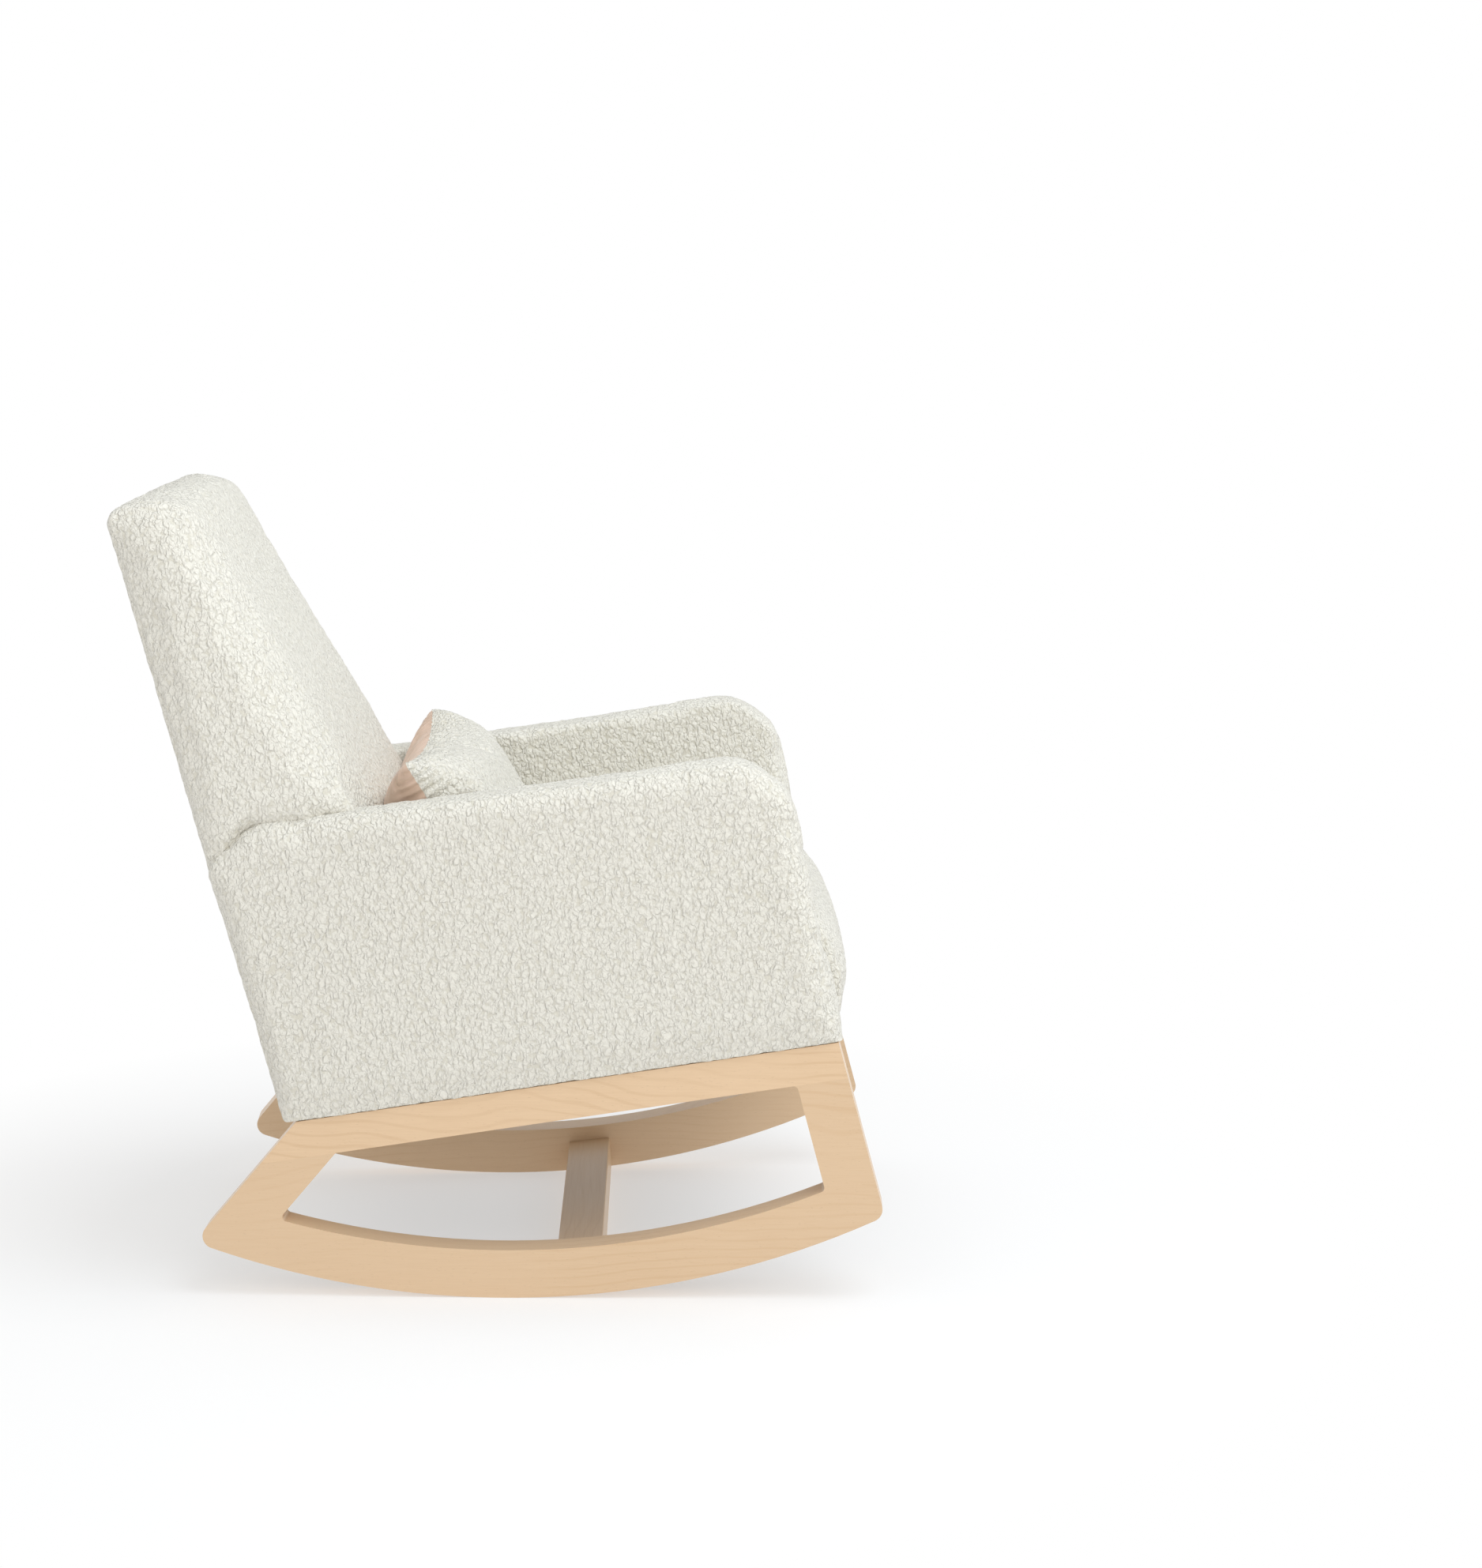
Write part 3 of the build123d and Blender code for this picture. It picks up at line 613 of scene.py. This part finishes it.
# %% The stuffing
def stuff(obj, pressure, cap, hold=None, frames=18, grow=0.02, bend=0.6):
    """Blows obj up by cloth simulation. hold gives 0 at a seam and 1 away from it."""
    start = vertices(obj)
    cloth = obj.modifiers.new("cloth", "CLOTH")
    settings = cloth.settings
    settings.quality = 4
    settings.mass = 0.3
    settings.tension_stiffness = settings.compression_stiffness = 12
    settings.shear_stiffness = 5
    settings.bending_stiffness = bend
    settings.use_pressure = True
    settings.uniform_pressure_force = pressure
    settings.shrink_min = -grow
    settings.effector_weights.gravity = 0.0
    cloth.collision_settings.use_collision = False
    cloth.collision_settings.use_self_collision = False
    cloth.point_cache.frame_start = 1
    cloth.point_cache.frame_end = frames
    for number in range(1, frames + 1):
        bpy.context.scene.frame_set(number)
    graph = bpy.context.evaluated_depsgraph_get()
    result = obj.evaluated_get(graph).to_mesh()
    flat = np.empty(len(result.vertices) * 3, dtype=np.float64)
    result.vertices.foreach_get("co", flat)
    obj.evaluated_get(graph).to_mesh_clear()
    obj.modifiers.clear()
    bpy.context.scene.frame_set(1)
    step = flat.reshape(-1, 3) - start
    length = np.linalg.norm(step, axis=1, keepdims=True)
    step *= cap * np.tanh(length / cap) / np.maximum(length, 1e-9)
    if hold is not None:
        step *= hold(*side_view(start))[:, None]
    move_vertices(obj, start + step)
    print(obj.name, "moved", round(float(np.abs(step).max()) * 1000, 1), "mm at most")


print("the stuffing runs for", stuff.__defaults__[1], "frames")

# %% [markdown]
# After the simulation come the finer things: a denser mesh, stitched lines that sink into the
# cover, and the largest curls of the pile as real relief.

# %% Seams and pile
def subdivide(obj):
    finer = obj.modifiers.new("finer", "SUBSURF")
    finer.levels = finer.render_levels = 1
    settle_modifiers(obj)


def to_line(where, line):
    """Distance of each point from a line through points."""
    nearest = np.full(len(where), 1e9)
    for a, b in zip(line[:-1], line[1:]):
        a, b = np.array(a), np.array(b)
        along = np.clip(((where - a) @ (b - a)) / ((b - a) @ (b - a)), 0, 1)
        gap = np.linalg.norm(where - (a + along[:, None] * (b - a)), axis=1)
        nearest = np.minimum(nearest, gap)
    return nearest


def seam(obj, line, depth=0.004, width=0.007):
    """Sinks the cover along a stitched line."""
    where = vertices(obj)
    pull = depth * np.exp(-((to_line(where, line) / width) ** 2))
    move_vertices(obj, where - normals(obj) * pull[:, None])


def curl(obj, height=0.0009):
    """Raises the larger curls of the pile."""
    # a fixed seed, or the sway of the curls would differ from run to run
    noise.seed_set(7)
    where = vertices(obj)
    raised = np.empty(len(where))
    for i, (x, y, z) in enumerate(where):
        sway = noise.noise_vector(Vector((x, y, z)) * 60) * 0.35
        cell = noise.voronoi(Vector((x * 125, y * 125, z * 75)) + sway)[0]
        raised[i] = 0.55 - cell[0]
    move_vertices(obj, where + normals(obj) * (height * 1.6 * raised)[:, None])


def finish_cover(obj, material, body):
    obj.data.materials.clear()
    obj.data.materials.append(material)
    obj.data.polygons.foreach_set("use_smooth", [True] * len(obj.data.polygons))
    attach(obj, body)
    print(obj.name, len(obj.data.vertices), "points")


print("pile stands up to", curl.__defaults__[0] * 1000, "mm")

# %% [markdown]
# ## Arm pads
#
# Each arm is a slab that stands on its rail, follows the splay of the side frame and keeps its
# edges soft. The outer face stands four millimetres proud of the maple below it.

# %% Two arms
ARM_OUTLINE = [
    (-267, rail_top(-267) - 12, 2), (-355, 546, 24), (-294, 601, 44), (292, 681, 60),
    (353, 641, 40), (397, 466, 40), (422, rail_top(422) - 12, 2),
]


def make_arm(name, sign):
    bm = bmesh.new()
    prism(bm, ARM_OUTLINE, lambda u, v: sign * half_width(ARM_DEPTH, u),
          lambda u, v: sign * half_width(-PROUD, u))
    arm = even_skin(name, bm, voxel=0.007, easing=10)
    stuff(arm, 3.0, 0.007, lambda u, v, x: np.clip((v - rail_top(u)) / 40, 0.1, 1))
    where = vertices(arm)
    u, v, x = side_view(where)
    # the inner face stays flat against the seat, and the foot sits on the rail
    least = half_width(ARM_DEPTH, u) + 0.4
    where[:, 0] = sign * np.maximum(sign * x, least) / 1000
    where[:, 2] = np.maximum(v, rail_top(u) + 1.3) / 1000
    move_vertices(arm, where)
    subdivide(arm)
    curl(arm)
    return arm


arms = {side: make_arm("arm_cover_" + side, sign) for side, sign in (("right", -1), ("left", 1))}
for side, arm in arms.items():
    finish_cover(arm, sherpa, "chair")
    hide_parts("arm_pad_" + side)

# %% [markdown]
# ## The seat
#
# The seat is tight: foam over webbing with the cover drawn over the front rail in one fall.
# It is full in the middle and pinched along both arms.

# %% One seat
SEAT_OUTLINE = [
    (-70, 430, 4), (-70, 328, 2), (388, 399, 6), (391, 327, 3), (419, 331, 10), (424, 398, 60),
    (405, 449, 70), (376, 487, 60), (336, 504, 80),
]


def make_seat():
    bm = bmesh.new()
    prism(bm, SEAT_OUTLINE, lambda u, v: -half_width(SEAT_DEPTH, u),
          lambda u, v: half_width(SEAT_DEPTH, u))
    seat = even_skin("seat_cover", bm, voxel=0.007, easing=12)

    def hold(u, v, x):
        from_arm = (half_width(ARM_DEPTH, u) - np.abs(x)) / 60
        return np.clip(from_arm, 0.15, 1) * np.clip((v - 335) / 40, 0, 1)

    stuff(seat, 4.0, 0.010, hold, grow=0.03)
    where = vertices(seat)
    u, v, x = side_view(where)
    across = 1 - (x / half_width(ARM_DEPTH, u)) ** 2
    crown = 9.0 * across * np.clip((v - 440) / 60, 0, 1) * np.clip((u + 60) / 120, 0, 1)
    front = 2.0 * across * np.clip((u - 370) / 40, 0, 1) * np.clip((v - 345) / 70, 0, 1)
    where[:, 2] += crown / 1000
    where[:, 1] -= front / 1000
    limit = half_width(SEAT_DEPTH, u) / 1000
    where[:, 0] = np.clip(where[:, 0], -limit, limit)
    where[:, 1] = np.minimum(where[:, 1], (70.0 + SHIFT) / 1000)
    move_vertices(seat, where)
    subdivide(seat)
    curl(seat)
    return seat


seat = make_seat()
finish_cover(seat, sherpa, "chair")
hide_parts("seat_cushion")

# %% [markdown]
# ## The back
#
# Above the arms the back is as wide as the body, and its sides lie flush with the arms. Below
# them it drops between the arms to the seat. A seam runs along the top edge of each side.

# %% One back
def back_edge(v):
    """Half the width of the back at a height."""
    return 292 - (v - 250) * 76 / 790


UPPER_OUTLINE = [
    (rear_face(536) - 8, 536, 0), (-298, 588, 40), (back_face(609) - 27, 609, 0),
    (back_face(975) - 37, 979, 46), (-416, 980, 0), (-471, 970, 16),
]
LOWER_OUTLINE = [
    (rear_face(329) + 4, 329, 0), (-76, 329, 3), (-90, 483, 40), (back_face(640) - 27, 640, 0),
    (rear_face(640) + 6, 640, 0),
]


def make_back():
    bm = bmesh.new()
    prism(bm, UPPER_OUTLINE, lambda u, v: -back_edge(v) - 1.5, lambda u, v: back_edge(v) + 1.5)
    prism(bm, LOWER_OUTLINE, lambda u, v: -half_width(SEAT_DEPTH, u),
          lambda u, v: half_width(SEAT_DEPTH, u))
    back = even_skin("back_cover", bm, voxel=0.007, easing=10)
    stuff(back, 4.0, 0.008, lambda u, v, x: np.clip((v - 490) / 60, 0.1, 1), grow=0.03)
    where = vertices(back)
    u, v, x = side_view(where)
    across = np.clip(1 - (x / back_edge(v)) ** 2, 0, 1)
    rear = rear_face(v)
    # share of the way from the rear to the front face
    forward = np.clip((u - rear) / np.maximum(back_face(v) - rear, 1), 0, 1)
    face = 9.0 * across * forward
    face *= np.clip((v - 480) / 120, 0, 1) * np.clip((1010 - v) / 60, 0.3, 1)
    top = 17.0 * across ** 0.8 * np.clip((v - 900) / 75, 0, 1)
    # the upright front edges are broad and round
    corner = np.clip(1 - (back_face(v) - 23 - u) / 50, 0, 1.2) * np.clip((v - 600) / 60, 0, 1)
    where[:, 0] *= 1 - 0.085 * corner ** 2
    where[:, 1] -= face / 1000
    where[:, 2] += top / 1000
    # the rear stays in front of its panel
    u, v, x = side_view(where)
    where[:, 1] = np.minimum(where[:, 1], (SHIFT - rear_face(v) + 11.0) / 1000)
    move_vertices(back, where)
    return back


back = make_back()
for sign in (-1, 1):
    side_seam = [(-452 + 13 * k, 966 + 2.4 * k, sign * (back_edge(966) - 1)) for k in range(6)]
    seam(back, [tuple(place(*p)) for p in side_seam], 0.004, 0.007)
subdivide(back)
curl(back)
finish_cover(back, sherpa, "chair")
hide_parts("back_cushion")

# %% [markdown]
# ## The rear panel and the pillow
#
# Both are two layers of cloth sewn together round the edge and filled. The rear panel is thin
# and held flat against the body. The pillow is small, full and soft at its corners.

# %% Two layers sewn at the edge
def two_layers(name, rows, columns, point):
    """point(a, b, layer) with a and b from -1 to 1. Layer 1 is the front. Edges are shared."""
    ids = {}
    points = []
    for layer in (0, 1):
        for j in range(rows + 1):
            for i in range(columns + 1):
                edge = i in (0, columns) or j in (0, rows)
                if edge and layer:
                    ids[layer, i, j] = ids[0, i, j]
                    continue
                ids[layer, i, j] = len(points)
                side = 0 if edge else 2 * layer - 1
                points.append(point(2 * i / columns - 1, 2 * j / rows - 1, side))
    faces = []
    for layer in (0, 1):
        for j in range(rows):
            for i in range(columns):
                quad = [ids[layer, i + x, j + y] for x, y in ((0, 0), (1, 0), (1, 1), (0, 1))]
                faces.append(quad if layer else quad[::-1])
    mesh = bpy.data.meshes.new(name)
    mesh.from_pydata(points, [], faces)
    # one layer may come out facing inwards, so every face is turned to point out
    bm = bmesh.new()
    bm.from_mesh(mesh)
    bmesh.ops.recalc_face_normals(bm, faces=bm.faces)
    bm.to_mesh(mesh)
    bm.free()
    return new_object(name, mesh)


print("two layers share the points of their edge")

# %% [markdown]
# The rear panel covers the whole rear, steps in where the arms end, and tucks its edges in.

# %% The rear panel
REAR_STEP = Vector(REAR_RUN).normalized()
REAR_SPAN = Vector(REAR_RUN).length


def rear_point(along, out, across):
    """A point on the rear of the body: along its slope, out from it, and across."""
    u = REAR_FOOT[0] + REAR_STEP.x * along - REAR_STEP.y * out
    v = REAR_FOOT[1] + REAR_STEP.y * along + REAR_STEP.x * out
    return place(u, v, across)


def rear_width(along):
    v = REAR_FOOT[1] + REAR_STEP.y * along
    arms_here = half_width(-PROUD, REAR_FOOT[0] + REAR_STEP.x * along) + 0.5
    return arms_here if v < 555 else back_edge(v) + 1.0


def make_rear():
    low, high = -8.0, REAR_SPAN - 16

    def point(a, b, layer):
        along = low + (high - low) * (b + 1) / 2
        wrap = 9.0 * max(0.0, (abs(a) - 0.92) / 0.08) ** 2 + 7.0 * max(0.0, (b - 0.95) / 0.05) ** 2
        out = 2.0 - wrap + (6.0 if layer > 0 else -6.0 if layer < 0 else 0.0)
        return rear_point(along, out, a * (rear_width(along) - 7))

    panel = two_layers("rear_cover", 108, 76, point)
    stuff(panel, 3.0, 0.009, grow=0.01, bend=2.0)
    where = vertices(panel)
    u, v, _ = side_view(where)
    out = REAR_STEP.x * (v - REAR_FOOT[1]) - REAR_STEP.y * (u - REAR_FOOT[0])
    kept = np.clip(out, -16.0, 12.0)
    shift = kept - out
    where[:, 1] += REAR_STEP.y * shift / 1000
    where[:, 2] += REAR_STEP.x * shift / 1000
    move_vertices(panel, where)
    subdivide(panel)
    curl(panel)
    return panel


rear = make_rear()
finish_cover(rear, sherpa, "chair")
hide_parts("back_panel")

# %% [markdown]
# The pillow leans back at 29 degrees. It is blown up on its own first, standing upright.

# %% The pillow
PILLOW_UP = Vector((0.0, 0.4848, 0.8746))
PILLOW_OUT = Vector((0.0, -0.8746, 0.4848))
PILLOW_MIDDLE = place(-54.0, 556.0, 0)
PILLOW_SIZE = (452.0, 252.0)
FRONT_FULLNESS = 0.073  # how far the front stands from the seam, metres
BACK_FULLNESS = 0.082   # and the back, before the chair flattens it


def make_pillow():
    half_a, half_b = 250.0, 143.0

    def point(a, b, layer):
        # the middle of each side is cut in a little, which keeps the corners from growing ears
        across = a * half_a * (1 - 0.045 * (1 - b * b) * abs(a))
        up = b * half_b * (1 - 0.06 * (1 - a * a) * abs(b))
        full = ((1 - a ** 4) * (1 - b ** 4)) ** 0.62
        return Vector((across / 1000, layer * 0.060 * full, up / 1000))

    pillow = two_layers("pillow", 44, 76, point)
    stuff(pillow, 6.0, 0.018, frames=24, grow=0.02, bend=0.4)
    return pillow


pillow = make_pillow()
size = np.ptp(vertices(pillow), axis=0)
print("the pillow came out", [round(float(s) * 1000) for s in size], "mm")

# %% [markdown]
# Then it is brought to its sewn size and laid in the seat. Where it would press into the
# chair it gives way. Its front is sherpa and its back velvet, parted at the seam.

# %% Lay the pillow in the seat
def shape_pillow(pillow):
    """The points of the blown-up pillow at its sewn size, with its back flatter, in the chair."""
    where = vertices(pillow)
    size = np.ptp(where, axis=0)
    where[:, 0] *= PILLOW_SIZE[0] / 1000 / size[0]
    where[:, 2] *= PILLOW_SIZE[1] / 1000 / size[2]
    # forward is -Y here: the front keeps its fullness and the back flattens against the chair
    front = where[:, 1] < 0
    reach = np.where(front, -where[:, 1].min(), where[:, 1].max())
    where[:, 1] *= np.where(front, FRONT_FULLNESS, BACK_FULLNESS) / reach
    turned = (PILLOW_MIDDLE.x + where[:, 0:1] * np.array([[1.0, 0, 0]])
              + where[:, 2:3] * np.array([PILLOW_UP[:]])
              - where[:, 1:2] * np.array([PILLOW_OUT[:]]))
    turned[:, 1] += PILLOW_MIDDLE.y
    turned[:, 2] += PILLOW_MIDDLE.z
    return turned


def clear_of_chair(where):
    """Keeps the pillow off the back, the seat and the arms."""
    u, v, x = side_view(where)
    arm_top = 598 + (u + 294) * 82 / 586
    room = half_width(ARM_DEPTH, u) - 1.0
    over = np.clip((v - arm_top) / 25, 0, 1)
    room = room + 18 * over
    where[:, 0] = np.clip(x, -room, room) / 1000
    across = np.clip(1 - (x / back_edge(v)) ** 2, 0, 1)
    least = back_face(v) - 27.0 + 14.0 * across + 2.0
    behind = np.maximum(least - u, 0)
    where[:, 1] -= behind / 1000
    seat_top = 428 + (np.clip(u, -70, 355) + 70) * 78 / 425
    floor = seat_top + 11.0 * (1 - (x / half_width(ARM_DEPTH, u)) ** 2) + 3.0
    where[:, 2] = np.maximum(where[:, 2], floor / 1000)
    return where


def gather(pillow):
    """Small puckers that fade away from the seam, where the cloth was eased in."""
    where = vertices(pillow)
    offset = where - np.array(PILLOW_MIDDLE[:])
    across = offset[:, 0]
    up = offset @ np.array(PILLOW_UP[:])
    from_side = PILLOW_SIZE[0] / 2000 - np.abs(across)
    from_top = PILLOW_SIZE[1] / 2000 - np.abs(up)
    edge = np.clip(np.minimum(from_side, from_top), 0, None)
    along = np.where(from_side < from_top, up, across)
    wave = np.sin(along * 480 + 3 * np.sin(along * 61)) * np.exp(-((edge - 0.012) / 0.014) ** 2)
    move_vertices(pillow, where + normals(pillow) * (0.0022 * wave)[:, None])


move_vertices(pillow, clear_of_chair(shape_pillow(pillow)))
subdivide(pillow)
halves = {}
gather(pillow)
for name, forward in (("pillow_front_cover", True), ("pillow_back_cover", False)):
    part = new_object(name, pillow.data.copy())
    bm = bmesh.new()
    bm.from_mesh(part.data)
    drop = []
    for face in bm.faces:
        middle = face.calc_center_median() - PILLOW_MIDDLE
        if (middle.dot(PILLOW_OUT) > 0) != forward:
            drop.append(face)
    bmesh.ops.delete(bm, geom=drop, context="FACES")
    bm.to_mesh(part.data)
    bm.free()
    halves[name] = part
bpy.data.objects.remove(pillow)
curl(halves["pillow_front_cover"])
finish_cover(halves["pillow_front_cover"], sherpa, "pillow")
finish_cover(halves["pillow_back_cover"], velvet, "pillow")
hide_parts("pillow_front")
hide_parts("pillow_back")

# %% [markdown]
# ## The studio
#
# A pale floor runs off into white. A large soft light stands high in front of the chair, a
# weaker one stands to its right, and the white surroundings fill the shadows. The camera
# stands at the chair's right, a little above it.

# %% The floor
def make_floor():
    """A large floor that fades to pure white away from the chair."""
    bm = bmesh.new()
    bmesh.ops.create_grid(bm, x_segments=1, y_segments=1, size=30.0)
    mesh = bpy.data.meshes.new("floor")
    bm.to_mesh(mesh)
    bm.free()
    floor = new_object("floor", mesh)
    made = bpy.data.materials.new("pale_floor")
    made.use_nodes = True
    tree = made.node_tree
    shader = tree.nodes["Principled BSDF"]
    shader.inputs["Base Color"].default_value = (0.93, 0.93, 0.93, 1)
    shader.inputs["Roughness"].default_value = 0.9
    where = tree.nodes.new("ShaderNodeTexCoord")
    length = node(tree, "ShaderNodeVectorMath", operation="LENGTH")
    tree.links.new(where.outputs["Object"], length.inputs[0])
    fade = node(tree, "ShaderNodeMapRange")
    tree.links.new(length.outputs["Value"], fade.inputs["Value"])
    fade.inputs["From Min"].default_value = 0.55
    fade.inputs["From Max"].default_value = 1.1
    # never less than this share of white, which keeps the shadows pale
    fade.inputs["To Min"].default_value = 0.45
    white = node(tree, "ShaderNodeEmission")
    white.inputs["Color"].default_value = (1, 1, 1, 1)
    blend = tree.nodes.new("ShaderNodeMixShader")
    tree.links.new(fade.outputs["Result"], blend.inputs[0])
    tree.links.new(shader.outputs[0], blend.inputs[1])
    tree.links.new(white.outputs[0], blend.inputs[2])
    tree.links.new(blend.outputs[0], tree.nodes["Material Output"].inputs["Surface"])
    floor.data.materials.append(made)
    floor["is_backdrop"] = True


make_floor()
print("floor laid")

# %% [markdown]
# The surroundings look white to the camera but light the chair more gently than that.

# %% Surroundings and lights
def make_world(fill):
    """White surroundings that light the chair with strength fill."""
    world = bpy.data.worlds.new("studio")
    bpy.context.scene.world = world
    world.use_nodes = True
    tree = world.node_tree
    seen = tree.nodes.new("ShaderNodeLightPath")
    strength = maths(tree, "MULTIPLY_ADD", seen.outputs["Is Camera Ray"], 1.0 - fill, fill)
    background = tree.nodes["Background"]
    background.inputs["Color"].default_value = (1, 1, 1, 1)
    tree.links.new(strength, background.inputs["Strength"])


def make_light(name, where, aim, size, power, colour):
    data = bpy.data.lights.new(name, "AREA")
    data.shape = "DISK"
    data.size = size
    data.energy = power
    data.color = colour
    light = bpy.data.objects.new(name, data)
    bpy.context.scene.collection.objects.link(light)
    light.location = where
    light.rotation_euler = (Vector(where) - Vector(aim)).to_track_quat("Z", "Y").to_euler()


make_world(0.69)
make_light("key", (-0.9, -1.5, 3.5), (0, 0, 0.45), 2.6, 61.0, (0.87, 0.94, 1.0))
make_light("fill", (-2.9, -0.9, 2.2), (0, 0, 0.5), 2.4, 21.0, (1.0, 1.0, 1.0))
print("two soft lights")

# %% [markdown]
# The camera looks along the chair's side, turned a degree and a half and tipped down ten.

# %% The camera
LENS = 68.28
CAMERA_AT = (-3.8181, -0.20225, 1.2656)
TIPPED, TURNED = 0.1729, 0.0243     # radians down, and towards the chair's front


def make_camera():
    data = bpy.data.cameras.new("camera")
    data.lens = LENS
    camera = bpy.data.objects.new("camera", data)
    bpy.context.scene.collection.objects.link(camera)
    level = math.cos(TIPPED)
    forward = Vector((level * math.cos(TURNED), -level * math.sin(TURNED), -math.sin(TIPPED)))
    right = Vector((-math.sin(TURNED), -math.cos(TURNED), 0.0))
    upward = right.cross(forward)
    turn = Matrix((right, upward, -forward)).transposed()
    camera.matrix_world = Matrix.Translation(CAMERA_AT) @ turn.to_4x4()
    bpy.context.scene.camera = camera


make_camera()
bpy.context.scene.view_settings.view_transform = "Standard"
print("camera placed")

# %% [markdown]
# ## The size
#
# The covers stand a little outside the frame's own box.

# %% Size
visual_low, visual_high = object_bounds()
span = [[round(c, 3) for c in corner] for corner in (visual_low, visual_high)]
print("the chair spans", span[0], "to", span[1])
